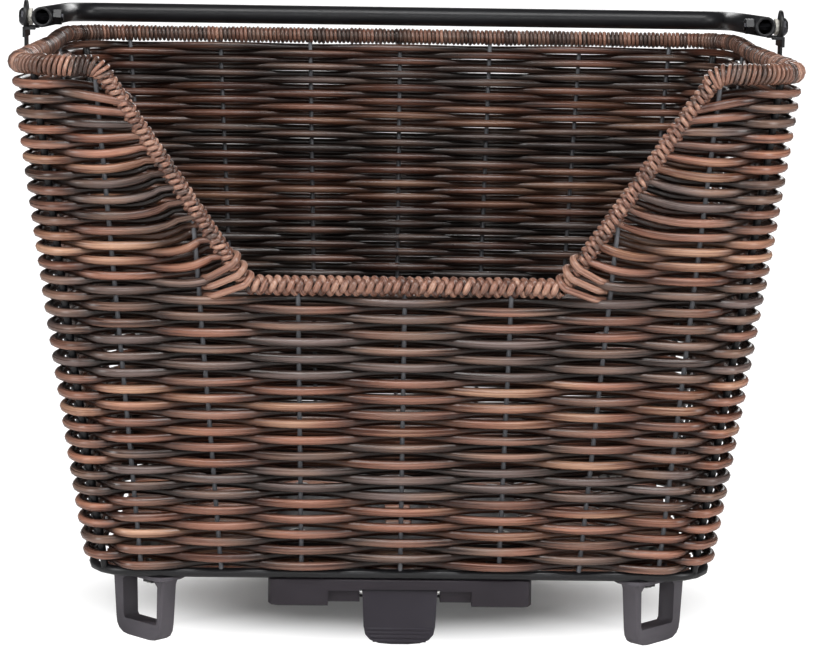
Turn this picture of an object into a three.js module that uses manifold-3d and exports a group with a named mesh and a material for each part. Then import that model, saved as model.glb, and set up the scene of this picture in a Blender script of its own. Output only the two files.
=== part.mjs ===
// A woven bicycle basket for a rear carrier: cane over a welded wire frame, four loop feet,
// a quick-release adapter under the floor and a carrying handle that swings over the rim.
// Millimetres. +X is the basket's right, -Y its notched front, +Z up. The feet stand on z = 0.

import * as THREE from 'three';
import { mergeVertices } from 'three/addons/utils/BufferGeometryUtils.js';
import Module from 'manifold-3d';

const wasm = await Module();
wasm.setup();

// Clearances
const gap = 0.3; // between pieces that touch
const overshoot = 2; // how far a cutting solid runs past the face that it cuts

// Woven body
const rimLength = 400; // over the wrapped rim, left to right
const rimWidth = 300; // over the wrapped rim, front to back
const rimCornerRadius = 36;
const rimTop = 306; // top of the wrapped rim above the ground
const baseLength = 324; // over the base ring
const baseWidth = 226;
const baseCornerRadius = 26;
const strandDiameter = 4;
const rimWireDiameter = 5;
const ringWireDiameter = 5;
const stakeDiameter = 2.4;
const rimWrapDiameter = 12;
const sillWrapDiameter = 9.6;
const notchWrapDiameter = 9;
const underRimGap = 2.4; // the slot of light between the rim and the topmost row

// Stake wires, spaced evenly on the back and the sides and by eye on the front
const backStakes = 7; // and as many on the front
const sideStakes = 4;
const endStakeInsetAtRim = 35; // from the rim wire's end to the last back stake
const endStakeInsetAtRing = 21.5;
const frontStakeSharesAtRim = [0.286, 0.574, 0.792]; // from the middle, of the wire's half length
const frontStakeSharesAtRing = [0.318, 0.576, 0.833];
const sideStakeInsetAtRim = 66;
const sideStakeInsetAtRing = 49;
const cornerStakeAngle = 40; // degrees round each corner, from the side wall

// Notch in the front wall, on the wire's centre line
const notchInset = 48; // from the rim's end to the notch's upper corner
const notchSlantRun = 72.5; // how far each slanted edge runs in
const notchDepth = 115; // rim's top to sill
const notchTopBend = 9;
const notchSillBend = 11;

// Feet
const footHeight = 36;
const footTopWidth = 41;
const footBottomWidth = 35;
const footBand = 10; // how deep the loop is
const footInnerLeg = 5; // at its top, on the side of the basket's middle
const footOuterLeg = 8.7; // the stouter leg, on the side of the basket's end
const footLegTaper = 2.2; // how much thinner each leg is at its foot
const footSole = 9;
const footFlangeThickness = 2;
const footFlangeMargin = 3; // of the flange beyond each leg
const footFlangeWidth = 20;
const footBottomRadius = 9;
const footHoleChamfer = 4.5;
const footInsetX = 33; // from the base ring's outside to the foot's screw
const footLoopShift = 5; // of the loop from its screw, towards the basket's end
const footTurn = Math.PI / 4; // the loops face the corners
const footScrewDiameter = 5;
const footWasherDiameter = 20;
const footWasherThickness = 1.5;
const footNutAcross = 8;
const footNutHeight = 3;

// Adapter plate
const adapterWidth = 190; // front to back
const adapterHeight = 14;
const adapterSetback = 1; // of its front, from the base ring's outside
const adapterEdge = 14; // from the screws to the plate's sides
const adapterCornerRadius = 5;
const railWidth = 31;
const deckThickness = 6;
const lipHeight = 6;
const lipDepth = 16;
const cheekSetback = 3; // of the cheeks that hold the lever's pin, behind the lip
const cheekHeight = 12.3;
const bridgeDepth = 8;
const bridgeHeight = 13;
const railWall = 4; // round the hollows under the rails
const railTop = 3; // over the hollows
const railRib = 4; // between two hollows
const railScrewBlock = 22; // left solid round each screw
const adapterScrewFromWire = 8; // the screws pass outside the first floor wires
const adapterScrewFromFront = 40;
const adapterScrewFromRear = 32;
const adapterScrewDiameter = 6;
const adapterNutAcross = 10;
const adapterNutHeight = 5;
const adapterNutRecess = 1; // of the nuts above the plate's underside
const clawBarWidth = 8; // the bar that carries the claws, let into the rails from behind
const clawBarHeight = 5;
const clawBarTongue = 3;
const clawWidth = 20;
const clawX = 22;
const clawReach = 13;
const clawDrop = 16;
const clawThickness = 5;
const clawGusset = 4; // web in the corner between a claw and the deck
const counterPlateSideMargin = 12; // from its screws to its edges
const counterPlateEndMargin = 14;
const counterPlateThickness = 2;
const counterPlateRadius = 10;
const counterSlotWidth = 14;
const counterSlotPitch = 24;

// Release lever
const leverWidth = 39.4;
const leverThickness = 4;
const leverBottom = 2; // above the ground
const leverBottomRadius = 9;
const leverBottomRun = 14; // how far in from each side its foot curves
const leverBarrelDiameter = 8.4;
const leverPinDiameter = 3;
const leverPinDrop = 7.5; // below the adapter's top
const leverPinSetback = 5.5; // behind the adapter's front face
const leverPinClearance = 0.4; // round the barrel in its seat
const leverSideClearance = 1;
const leverPinSeat = 8; // how far each end of the pin is held
const leverNoseReach = 6;
const leverNoseHeight = 6.5; // above the lever's bottom
const leverNoseThickness = 2;
const leverSideDraft = 1.2; // how much narrower each side is at the foot
const leverKick = 1.6; // how far the grip leans forward at its foot
const leverHeelInset = 5; // of the heel from each side of the lever
const leverHeelThickness = 2.4;
const leverGripRibs = 4;
const leverRibPitch = 1.9;
const leverRibRadius = 0.8;
const springWire = 0.9;
const springCoilDiameter = 5.6;
const springTurns = 4;
const springPitch = 1.6;
const springLegHold = 4; // of the long leg, inside the bridge

// Carrying handle
const handleTubeDiameter = 11;
const handleTubeWall = 1.5;
const handleBendRadius = 20;
const handleTail = 8; // tube that runs on past the pivot
const pivotRise = 11; // of the pivots over the rim's top
const handleRestRise = 7.6; // of the bar's centre line over the rim's top, at the back
const bracketThickness = 1.5;
const bracketInset = 2.4; // from the rim's outside to the bracket
const bracketWidth = 20;
const bracketLength = 85; // from the pivot down to the bracket's lower end
const bracketBendDrop = 38; // from the pivot down to where the bracket follows the wall
const bracketNeck = 12; // height of the slanted stretch over that bend
const bracketNeckWidth = 8; // of the stretch from there up to the head
const bracketHeadRadius = 9;
const bracketYoke = 4; // height of the crosspiece under the ears
const earSpan = 24;
const earLength = 4.5;
const earReach = 6.6;
const pivotBoltDiameter = 5;
const pivotHeadDiameter = 9.5;
const pivotHeadHeight = 2.6;
const pivotSpacerDiameter = 9;
const pivotNutAcross = 8;
const pivotNutHeight = 4;
const bracketScrewDiameter = 4;
const bracketScrewDrops = [51, 73]; // from the pivot down to each screw
const bracketNutAcross = 7;
const bracketNutHeight = 3.2;
const screwTip = 1; // how far a screw shows past its nut
const backingThickness = 1.5;
const backingMargin = 9; // backing strip beyond its screws

// Smoothness
const cornerSteps = 4;
const smallCornerSteps = 2;
const bendSteps = 3;
const wireSides = 6;
const tubeBoreSides = 8;
const wrapSides = 10;
const screwSides = 8;
const pinSides = 12;
const barrelSides = 20;

// Worked out from the sizes above
const rimHeight = rimTop - rimWrapDiameter / 2;
const rimCorner = rimCornerRadius - rimWrapDiameter / 2;
const ringCorner = baseCornerRadius - ringWireDiameter / 2;
const ringHeight = footHeight + gap + ringWireDiameter / 2;
const wallHalf = strandDiameter + stakeDiameter / 2;
const floorHeight = footHeight + gap + wallHalf;
const floorTop = floorHeight + wallHalf;
const rimHalfLength = (rimLength - rimWrapDiameter) / 2;
const rimHalfWidth = (rimWidth - rimWrapDiameter) / 2;
const ringHalfLength = (baseLength - ringWireDiameter) / 2;
const ringHalfWidth = (baseWidth - ringWireDiameter) / 2;
const stakePitchAtRim = (2 * (rimHalfLength - endStakeInsetAtRim)) / (backStakes - 1);
const stakePitchAtRing = (2 * (ringHalfLength - endStakeInsetAtRing)) / (backStakes - 1);
const sideStakePitchAtRim = (2 * (rimHalfWidth - sideStakeInsetAtRim)) / (sideStakes - 1);
const sideStakePitchAtRing = (2 * (ringHalfWidth - sideStakeInsetAtRing)) / (sideStakes - 1);
const notchHalfTop = rimLength / 2 - notchInset;
const notchHalfSill = notchHalfTop - notchSlantRun;
const notchSillHeight = rimTop - notchDepth;
const wallBottom = ringHeight + ringWireDiameter / 2 + gap;
const wallTop = rimTop - rimWrapDiameter - underRimGap;
const weaveSplit = notchSillHeight - sillWrapDiameter / 2 - gap;
const counterPlateTop = floorTop + gap + counterPlateThickness;
const wallSlope = (rimHalfLength - ringHalfLength) / (rimHeight - ringHeight);
const footX = baseLength / 2 - footInsetX;
const adapterFront = adapterSetback - baseWidth / 2;
const adapterRear = adapterFront + adapterWidth;
const adapterBottom = footHeight - adapterHeight;
const adapterScrewX = stakePitchAtRing + adapterScrewFromWire;
const adapterScrewFrontY = adapterFront + adapterScrewFromFront;
const adapterScrewRearY = adapterRear - adapterScrewFromRear;
const adapterLength = 2 * (adapterScrewX + adapterEdge);
const channelHalf = adapterLength / 2 - railWidth;
const pivotHeight = rimTop + pivotRise;
const handleRestHeight = rimTop + handleRestRise;
const handleReach = (rimWidth - handleTubeDiameter) / 2; // pivot to bar, over the back rim
const bracketBend = pivotHeight - bracketBendDrop;
const bracketFoot = pivotHeight - bracketLength;
const bracketScrewHeights = bracketScrewDrops.map((drop) => pivotHeight - drop);
const handleFall = (pivotHeight - handleRestHeight) / handleReach;

// The wall's centre surface: half length, half width and corner radius at a height
function wallAt(height) {
  const share = shareOf(height);
  return {
    halfLength: ringHalfLength + (rimHalfLength - ringHalfLength) * share,
    halfWidth: ringHalfWidth + (rimHalfWidth - ringHalfWidth) * share,
    radius: THREE.MathUtils.lerp(ringCorner, rimCorner, share),
  };
}

function shareOf(height) {
  return (height - ringHeight) / (rimHeight - ringHeight);
}

// How far a stake stands from the middle of the front (side -1) or back (side 1) wall
function stakeX(side, index, height) {
  if (side > 0 || index === 0) {
    return index * THREE.MathUtils.lerp(stakePitchAtRing, stakePitchAtRim, shareOf(height));
  }
  const number = Math.abs(index) - 1;
  const low = frontStakeSharesAtRing[number] * ringHalfLength;
  const high = frontStakeSharesAtRim[number] * rimHalfLength;
  return Math.sign(index) * THREE.MathUtils.lerp(low, high, shareOf(height));
}

// The feet stand as near the front and back as their washers can
const footY = wallAt(floorTop).halfWidth - wallHalf - gap - footWasherDiameter / 2;

// A point of the front wall's centre surface
function onFrontWall(x, height) {
  return new THREE.Vector3(x, -wallAt(height).halfWidth, height);
}

// Geometry to solid and back
function solid(geometry) {
  const bare = geometry.clone();
  bare.deleteAttribute('normal');
  bare.deleteAttribute('uv');
  const merged = mergeVertices(bare, 1e-4);
  return new wasm.Manifold(new wasm.Mesh({
    numProp: 3,
    vertProperties: new Float32Array(merged.attributes.position.array),
    triVerts: new Uint32Array(merged.index.array),
  }));
}

function union(solids) {
  return solids.reduce((sum, piece) => sum.add(piece));
}

function geometryOf(body) {
  const mesh = body.getMesh();
  const geometry = new THREE.BufferGeometry();
  geometry.setAttribute('position', new THREE.BufferAttribute(mesh.vertProperties, 3));
  geometry.setIndex(new THREE.BufferAttribute(mesh.triVerts, 1));
  return geometry;
}

// A skin over sections with equal numbers of points, closed into a loop or capped at both ends
function loft(sections, closed = false) {
  const count = sections[0].length;
  const positions = sections.flat().flatMap((point) => [point.x, point.y, point.z]);
  const index = [];
  const bands = closed ? sections.length : sections.length - 1;
  for (let band = 0; band < bands; band += 1) {
    const here = band * count;
    const there = ((band + 1) % sections.length) * count;
    for (let side = 0; side < count; side += 1) {
      const next = (side + 1) % count;
      index.push(here + side, here + next, there + next);
      index.push(here + side, there + next, there + side);
    }
  }
  if (!closed) {
    const last = (sections.length - 1) * count;
    for (let side = 1; side < count - 1; side += 1) {
      index.push(0, side + 1, side);
      index.push(last, last + side, last + side + 1);
    }
  }
  const geometry = new THREE.BufferGeometry();
  geometry.setAttribute('position', new THREE.Float32BufferAttribute(positions, 3));
  geometry.setIndex(index);
  const body = solid(geometry);
  return body.volume() < 0 ? solid(flipped(geometry)) : body;
}

function flipped(geometry) {
  const turned = geometry.clone();
  const order = Array.from(geometry.index.array);
  for (let corner = 0; corner < order.length; corner += 3) {
    [order[corner], order[corner + 1]] = [order[corner + 1], order[corner]];
  }
  turned.setIndex(order);
  return turned;
}

// A round bar along a path, its section carried from point to point without twist
function sweep(path, radius, sides, closed = false) {
  const last = path.length - 1;
  const tangents = path.map((point, at) => {
    const before = closed ? path[(at + last) % path.length] : path[Math.max(at - 1, 0)];
    const after = closed ? path[(at + 1) % path.length] : path[Math.min(at + 1, last)];
    const into = point.clone().sub(before).normalize();
    const out = after.clone().sub(point).normalize();
    return into.add(out).normalize();
  });
  const start = Math.abs(tangents[0].z) > 0.9 ? new THREE.Vector3(1, 0, 0) : new THREE.Vector3(0, 0, 1);
  let side = start.clone().cross(tangents[0]).normalize();
  const sections = path.map((point, at) => {
    const tangent = tangents[at];
    side = side.clone().addScaledVector(tangent, -side.dot(tangent)).normalize();
    const up = tangent.clone().cross(side);
    return Array.from({ length: sides }, (_, step) => {
      const angle = ((step + 0.5) / sides) * 2 * Math.PI;
      return point.clone()
        .addScaledVector(side, radius * Math.cos(angle))
        .addScaledVector(up, radius * Math.sin(angle));
    });
  });
  return loft(sections, closed);
}

// A path through corners, each turned on an arc of its own radius
function filletPath(corners, closed, steps) {
  const path = [];
  corners.forEach(({ point, radius }, at) => {
    const isEnd = !closed && (at === 0 || at === corners.length - 1);
    if (isEnd || !radius) {
      path.push(point.clone());
      return;
    }
    const before = corners[(at + corners.length - 1) % corners.length].point;
    const after = corners[(at + 1) % corners.length].point;
    const into = point.clone().sub(before).normalize();
    const out = after.clone().sub(point).normalize();
    const turn = into.angleTo(out);
    const inward = out.clone().sub(into).normalize();
    const along = out.clone().add(into).normalize();
    const centre = point.clone().addScaledVector(inward, radius / Math.cos(turn / 2));
    for (let step = 0; step <= steps; step += 1) {
      const angle = turn * (step / steps - 0.5);
      path.push(centre.clone()
        .addScaledVector(inward, -radius * Math.cos(angle))
        .addScaledVector(along, radius * Math.sin(angle)));
    }
  });
  return path;
}

// A rounded rectangle at a height, counter-clockwise from above
function roundedRectangle(halfLength, halfWidth, radius, height, steps = cornerSteps) {
  const corners = [[1, 1, 0], [-1, 1, 1], [-1, -1, 2], [1, -1, 3]];
  return corners.flatMap(([sx, sy, quarter]) => Array.from({ length: steps + 1 }, (_, step) => {
    const angle = (quarter + step / steps) * (Math.PI / 2);
    return new THREE.Vector3(
      sx * (halfLength - radius) + radius * Math.cos(angle),
      sy * (halfWidth - radius) + radius * Math.sin(angle),
      height);
  }));
}

function wallOutline(height, offset) {
  const wall = wallAt(height);
  return roundedRectangle(wall.halfLength + offset, wall.halfWidth + offset, wall.radius + offset, height);
}

// A cylinder between two points
function rod(from, to, radius, sides) {
  const axis = to.clone().sub(from);
  const geometry = new THREE.CylinderGeometry(radius, radius, axis.length(), sides);
  geometry.applyQuaternion(new THREE.Quaternion().setFromUnitVectors(
    new THREE.Vector3(0, 1, 0), axis.clone().normalize()));
  const middle = from.clone().add(to).multiplyScalar(0.5);
  geometry.translate(middle.x, middle.y, middle.z);
  return solid(geometry);
}

function box(minX, maxX, minY, maxY, minZ, maxZ) {
  const geometry = new THREE.BoxGeometry(maxX - minX, maxY - minY, maxZ - minZ);
  geometry.translate((minX + maxX) / 2, (minY + maxY) / 2, (minZ + maxZ) / 2);
  return solid(geometry);
}

// A flat outline raised along +Z
function prism(shape, bottom, top, bevel = 0) {
  const geometry = new THREE.ExtrudeGeometry(shape, {
    depth: top - bottom - 2 * bevel,
    curveSegments: 4,
    bevelEnabled: bevel > 0,
    bevelThickness: bevel,
    bevelSize: bevel,
    bevelOffset: -bevel,
    bevelSegments: 1,
  });
  geometry.translate(0, 0, bottom + bevel);
  return geometry;
}

function roundedShape(halfLength, halfWidth, radius, steps = smallCornerSteps) {
  const outline = roundedRectangle(halfLength, halfWidth, radius, 0, steps);
  return new THREE.Shape(outline.map((point) => new THREE.Vector2(point.x, point.y)));
}

// A revolve about +Z from a list of radius and height
function revolve(profile, sides) {
  const geometry = new THREE.LatheGeometry(profile.map(([r, z]) => new THREE.Vector2(r, z)), sides);
  geometry.rotateX(Math.PI / 2);
  return geometry;
}

// Fasteners stand on z = 0, the seat of the head or nut, with the shank below it
function panScrew(diameter, length, headDiameter = 2 * diameter, headHeight = 0.6 * diameter) {
  const r = diameter / 2;
  const head = headDiameter / 2;
  const body = solid(revolve([
    [0, -length], [r, -length], [r, 0], [head, 0],
    [head, headHeight * 0.5], [head * 0.7, headHeight], [0, headHeight],
  ], screwSides));
  const socket = new THREE.CylinderGeometry(r * 0.62, r * 0.62, headHeight * 1.2, 6);
  socket.rotateX(Math.PI / 2);
  socket.translate(0, 0, headHeight);
  return body.subtract(solid(socket));
}

function hexNut(diameter, across, height) {
  const outer = new THREE.CylinderGeometry(across / Math.sqrt(3), across / Math.sqrt(3), height, 6);
  outer.rotateX(Math.PI / 2);
  outer.translate(0, 0, height / 2);
  const bore = new THREE.CylinderGeometry(diameter / 2 + gap, diameter / 2 + gap, height * 2, screwSides);
  bore.rotateX(Math.PI / 2);
  return solid(outer).subtract(solid(bore));
}

function washer(diameter, bore, thickness) {
  const r = bore / 2 + gap;
  return solid(revolve([
    [r, 0], [diameter / 2, 0], [diameter / 2, thickness * 0.6], [diameter / 2 - thickness * 0.4, thickness],
    [r, thickness], [r, 0],
  ], 12));
}

// Materials
const cane = new THREE.MeshStandardMaterial({ color: 0x4b3226, roughness: 0.5, metalness: 0 });
const wrapCane = new THREE.MeshStandardMaterial({ color: 0x6a4a38, roughness: 0.5, metalness: 0 });
const blackSteel = new THREE.MeshStandardMaterial({ color: 0x1b1a1c, roughness: 0.4, metalness: 0.3 });
const moulded = new THREE.MeshStandardMaterial({ color: 0x333136, roughness: 0.6, metalness: 0 });
const zinc = new THREE.MeshStandardMaterial({ color: 0xa9a9a6, roughness: 0.35, metalness: 1 });
const nylon = new THREE.MeshStandardMaterial({ color: 0xd8d6cf, roughness: 0.5, metalness: 0 });

const basket = new THREE.Group();

function place(name, body, material) {
  const mesh = new THREE.Mesh(geometryOf(body.simplify(0.02)), material.clone());
  mesh.name = name;
  basket.add(mesh);
  return mesh;
}

// Wire frame: rim wire with its notch, stakes, base ring and floor wires, all welded
function rimWirePath() {
  const front = -rimHalfWidth;
  const at = (x, y, radius) => ({ point: new THREE.Vector3(x, y, rimHeight), radius });
  const sill = (x) => ({ point: onFrontWall(x, notchSillHeight), radius: notchSillBend });
  return {
    notch: [at(-notchHalfTop, front, notchTopBend), sill(-notchHalfSill), sill(notchHalfSill),
      at(notchHalfTop, front, notchTopBend)],
    rim: [at(rimHalfLength, front, rimCorner), at(rimHalfLength, rimHalfWidth, rimCorner),
      at(-rimHalfLength, rimHalfWidth, rimCorner), at(-rimHalfLength, front, rimCorner)],
  };
}

// Where the wire's bends begin, measured back from their corners
const notchSlant = Math.atan2(rimHeight - notchSillHeight, notchHalfTop - notchHalfSill);
const topBendRun = notchTopBend * Math.tan(notchSlant / 2);
const sillBendRun = notchSillBend * Math.tan(notchSlant / 2);

// Height at which a front stake, or the wall above it, ends at the notch
function frontStakeTop(index) {
  const along = (height) => stakeX(-1, index, height);
  if (Math.abs(along(notchSillHeight)) < notchHalfSill) {
    return notchSillHeight;
  }
  let height = rimHeight;
  const edge = (z) => notchHalfSill
    + ((notchHalfTop - notchHalfSill) * (z - notchSillHeight)) / (rimHeight - notchSillHeight);
  if (Math.abs(along(rimHeight)) < notchHalfTop) {
    for (let step = 0; step < 20; step += 1) {
      const short = Math.abs(along(height)) - edge(height);
      height += (short * (rimHeight - notchSillHeight)) / (notchHalfTop - notchHalfSill);
    }
  }
  return height;
}

function stakeLines() {
  const lines = [];
  const reach = (backStakes - 1) / 2;
  for (let index = -reach; index <= reach; index += 1) {
    for (const side of [-1, 1]) {
      const foot = new THREE.Vector3(stakeX(side, index, ringHeight), side * ringHalfWidth, ringHeight);
      const head = new THREE.Vector3(stakeX(side, index, rimHeight), side * rimHalfWidth, rimHeight);
      const top = side < 0 ? frontStakeTop(index) : rimHeight;
      head.lerpVectors(foot, head.clone(), shareOf(top));
      lines.push([foot, head]);
    }
  }
  for (let index = 0; index < sideStakes; index += 1) {
    const step = index - (sideStakes - 1) / 2;
    for (const side of [-1, 1]) {
      lines.push([
        new THREE.Vector3(side * ringHalfLength, step * sideStakePitchAtRing, ringHeight),
        new THREE.Vector3(side * rimHalfLength, step * sideStakePitchAtRim, rimHeight),
      ]);
    }
  }
  const turn = THREE.MathUtils.degToRad(cornerStakeAngle);
  for (const [sx, sy] of [[1, 1], [-1, 1], [-1, -1], [1, -1]]) {
    lines.push([ringHeight, rimHeight].map((height) => {
      const wall = wallAt(height);
      return new THREE.Vector3(
        sx * (wall.halfLength - wall.radius * (1 - Math.cos(turn))),
        sy * (wall.halfWidth - wall.radius * (1 - Math.sin(turn))),
        height);
    }));
  }
  return lines;
}

// Given a clearance it is the room that the frame needs, with its stakes squared off
function wireFrame(clearance) {
  const { notch, rim } = rimWirePath();
  const rimPath = filletPath([...notch, ...rim], true, cornerSteps);
  const ringPath = roundedRectangle(ringHalfLength, ringHalfWidth, ringCorner, ringHeight);
  const stakeSides = clearance > 0 ? 4 : wireSides;
  const stakeRadius = clearance > 0 ? (stakeDiameter / 2 + clearance) * Math.SQRT2 : stakeDiameter / 2;
  const parts = [
    sweep(rimPath, rimWireDiameter / 2 + clearance, wireSides, true),
    sweep(ringPath, ringWireDiameter / 2 + clearance, wireSides, true),
  ];
  for (const [foot, head] of stakeLines()) {
    parts.push(rod(foot, head, stakeRadius, stakeSides));
  }
  const reach = (backStakes - 1) / 2;
  for (let index = -reach; index <= reach; index += 1) {
    const x = index * stakePitchAtRing;
    const end = ringHalfWidth - (Math.abs(index) === reach ? stakeDiameter / 4 : 0);
    parts.push(rod(new THREE.Vector3(x, -end, floorHeight), new THREE.Vector3(x, end, floorHeight),
      stakeRadius, stakeSides));
  }
  return union(parts);
}

const frame = wireFrame(0);
const frameRoom = wireFrame(gap);
place('wire_frame', frame, blackSteel);

// Windings: sleeves over the rim wire, open at their ends
function sleeve(path, diameter) {
  const outer = sweep(path, diameter / 2, wrapSides);
  return outer.subtract(frameRoom);
}

function notchCorner(side, radius) {
  return { point: new THREE.Vector3(side * notchHalfTop, -rimHalfWidth, rimHeight), radius };
}

function rimWrap() {
  const { rim } = rimWirePath();
  const start = notchHalfTop + topBendRun + 2 * gap;
  const end = (side) => ({ point: new THREE.Vector3(side * start, -rimHalfWidth, rimHeight), radius: 0 });
  return sleeve(filletPath([end(1), ...rim, end(-1)], false, cornerSteps), rimWrapDiameter);
}

function sillWrap() {
  const reach = notchHalfSill - sillBendRun - 2 * gap;
  const ends = [onFrontWall(-reach, notchSillHeight), onFrontWall(reach, notchSillHeight)];
  return sleeve(ends, sillWrapDiameter);
}

function notchWrap(side) {
  const low = { point: onFrontWall(side * (notchHalfSill - sillBendRun - gap), notchSillHeight), radius: 0 };
  const corner = { point: onFrontWall(side * notchHalfSill, notchSillHeight), radius: notchSillBend };
  const high = notchCorner(side, notchTopBend);
  const end = notchCorner(side, 0);
  end.point.x += side * (topBendRun + gap);
  return sleeve(filletPath([low, corner, high, end], false, bendSteps + 1), notchWrapDiameter);
}

// Screws that hold a handle bracket, in the wall's own directions
const wallTilt = Math.atan(wallSlope);
const wallHalfNormal = wallHalf * Math.cos(wallTilt);

function wallFrame(side, height) {
  const turn = new THREE.Matrix4().makeRotationY(side * (Math.PI / 2 + wallTilt));
  return turn.setPosition(side * wallAt(height).halfLength, 0, height);
}

function placed(body, matrix) {
  return body.transform(matrix.elements);
}

function bracketScrewRoom(side) {
  const length = 6 * wallHalf;
  return union(bracketScrewHeights.map((height) => placed(
    rod(new THREE.Vector3(0, 0, -length / 2), new THREE.Vector3(0, 0, length / 2),
      bracketScrewDiameter / 2 + gap, pinSides),
    wallFrame(side, height))));
}

const screwRoom = union([bracketScrewRoom(-1), bracketScrewRoom(1)]);

// Notch opening through the weave, with room for the windings on its edge
function notchRoom() {
  const reach = notchWrapDiameter / 2 + gap;
  const drop = sillWrapDiameter / 2 + gap;
  const low = notchSillHeight - drop;
  const slope = (notchHalfTop - notchHalfSill) / (rimHeight - notchSillHeight);
  const wide = (height) => notchHalfSill + (height - notchSillHeight) * slope + reach / Math.sin(notchSlant);
  const top = rimTop + overshoot;
  const shape = new THREE.Shape([
    new THREE.Vector2(-wide(low), low), new THREE.Vector2(wide(low), low),
    new THREE.Vector2(wide(top), top), new THREE.Vector2(-wide(top), top),
  ]);
  const geometry = prism(shape, 0, rimHalfWidth);
  geometry.rotateX(Math.PI / 2);
  geometry.translate(0, -ringHalfWidth / 2, 0);
  return solid(geometry);
}

// Woven wall between two heights
function weaveWall(bottom, top) {
  const outer = loft([wallOutline(bottom, wallHalf), wallOutline(top, wallHalf)]);
  const inner = loft([wallOutline(bottom - overshoot, -wallHalf), wallOutline(top + overshoot, -wallHalf)]);
  return outer.subtract(inner).subtract(frameRoom).subtract(screwRoom);
}

function footCentres() {
  return [['front_left', -1, -1], ['front_right', 1, -1], ['rear_left', -1, 1], ['rear_right', 1, 1]];
}

function adapterScrewPlaces() {
  return [
    ['front_left', -adapterScrewX, adapterScrewFrontY], ['front_right', adapterScrewX, adapterScrewFrontY],
    ['rear_left', -adapterScrewX, adapterScrewRearY], ['rear_right', adapterScrewX, adapterScrewRearY],
  ];
}

function upright(x, y, radius, bottom, top, sides = screwSides) {
  return rod(new THREE.Vector3(x, y, bottom), new THREE.Vector3(x, y, top), radius, sides);
}

function weaveFloor() {
  const wall = wallAt(wallBottom);
  const inset = wallHalf + gap;
  const shape = roundedShape(
    wall.halfLength - inset, wall.halfWidth - inset, wall.radius - inset, cornerSteps);
  let body = solid(prism(shape, floorHeight - wallHalf, floorTop)).subtract(frameRoom);
  for (const [, sx, sy] of footCentres()) {
    body = body.subtract(upright(sx * footX, sy * footY, footScrewDiameter / 2 + gap, 0, rimTop));
  }
  for (const [, x, y] of adapterScrewPlaces()) {
    body = body.subtract(upright(x, y, adapterScrewDiameter / 2 + gap, 0, rimTop));
  }
  return body;
}

place('weave_lower', weaveWall(wallBottom, weaveSplit), cane);
place('weave_upper', weaveWall(weaveSplit + gap, wallTop).subtract(notchRoom()), cane);
place('weave_floor', weaveFloor(), cane);
place('rim_wrap', rimWrap(), wrapCane);
place('sill_wrap', sillWrap(), wrapCane);
place('notch_wrap_left', notchWrap(-1), wrapCane);
place('notch_wrap_right', notchWrap(1), wrapCane);

// Foot: a moulded loop with tapering legs under a flange, turned to face its corner, the stouter leg
// at +x
function footShape() {
  const top = footTopWidth / 2;
  const bottom = footBottomWidth / 2;
  const r = footBottomRadius;
  const flare = footFlangeThickness;
  const shape = new THREE.Shape();
  shape.moveTo(-bottom + r, 0);
  shape.lineTo(bottom - r, 0);
  shape.quadraticCurveTo(bottom, 0, bottom + 0.3, r);
  shape.lineTo(top - 1, footHeight - 3 * flare);
  shape.quadraticCurveTo(top, footHeight - flare, top + flare, footHeight - flare);
  shape.lineTo(top + flare, footHeight);
  shape.lineTo(-top - flare, footHeight);
  shape.lineTo(-top - flare, footHeight - flare);
  shape.quadraticCurveTo(-top, footHeight - flare, -top + 1, footHeight - 3 * flare);
  shape.lineTo(-bottom - 0.3, r);
  shape.quadraticCurveTo(-bottom, 0, -bottom + r, 0);
  return shape;
}

function footHole() {
  const low = footSole;
  const high = footHeight - footFlangeThickness;
  const side = (z, leg) => THREE.MathUtils.lerp(footBottomWidth, footTopWidth, z / footHeight) / 2
    - leg + footLegTaper * (1 - z / footHeight);
  const inner = (z) => -side(z, footInnerLeg);
  const outer = (z) => side(z, footOuterLeg);
  const cut = footHoleChamfer;
  const corners = [
    [inner(low) + 1, low], [outer(low) - 1, low], [outer(low), low + 1.5], [outer(high - cut), high - cut],
    [outer(high) - cut, high], [inner(high) + cut, high], [inner(high - cut), high - cut],
    [inner(low), low + 1.5],
  ];
  return new THREE.Shape(corners.map(([x, z]) => new THREE.Vector2(x, z)));
}

function foot() {
  const loop = prism(footShape(), -footBand / 2, footBand / 2, 0.8);
  loop.rotateX(Math.PI / 2);
  const hole = prism(footHole(), -footBand, footBand);
  hole.rotateX(Math.PI / 2);
  const flange = prism(roundedShape(footTopWidth / 2 + footFlangeMargin, footFlangeWidth / 2, 6),
    footHeight - footFlangeThickness, footHeight);
  return solid(loop).subtract(solid(hole)).add(solid(flange)).translate([footLoopShift, 0, 0])
    .subtract(upright(0, 0, footScrewDiameter / 2 + gap, footSole + overshoot, footHeight + overshoot));
}

// Each foot with what clamps it through the woven floor
for (const [corner, sx, sy] of footCentres()) {
  const moulding = place(`foot_${corner}`, sx > 0 ? foot() : mirrored(foot()), moulded);
  moulding.rotation.z = -sx * sy * footTurn;
  moulding.position.set(sx * footX, sy * footY, 0);
  const washerSeat = floorTop + gap;
  const screwSeat = washerSeat + footWasherThickness + gap;
  const nutTop = footHeight - footFlangeThickness - gap;
  const nutBottom = nutTop - footNutHeight;
  place(`foot_washer_${corner}`, washer(footWasherDiameter, footScrewDiameter, footWasherThickness), zinc)
    .position.set(sx * footX, sy * footY, washerSeat);
  place(`foot_screw_${corner}`,
    panScrew(footScrewDiameter, screwSeat - nutBottom + screwTip), zinc)
    .position.set(sx * footX, sy * footY, screwSeat);
  place(`foot_nut_${corner}`, hexNut(footScrewDiameter, footNutAcross, footNutHeight), blackSteel)
    .position.set(sx * footX, sy * footY, nutBottom);
}

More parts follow.
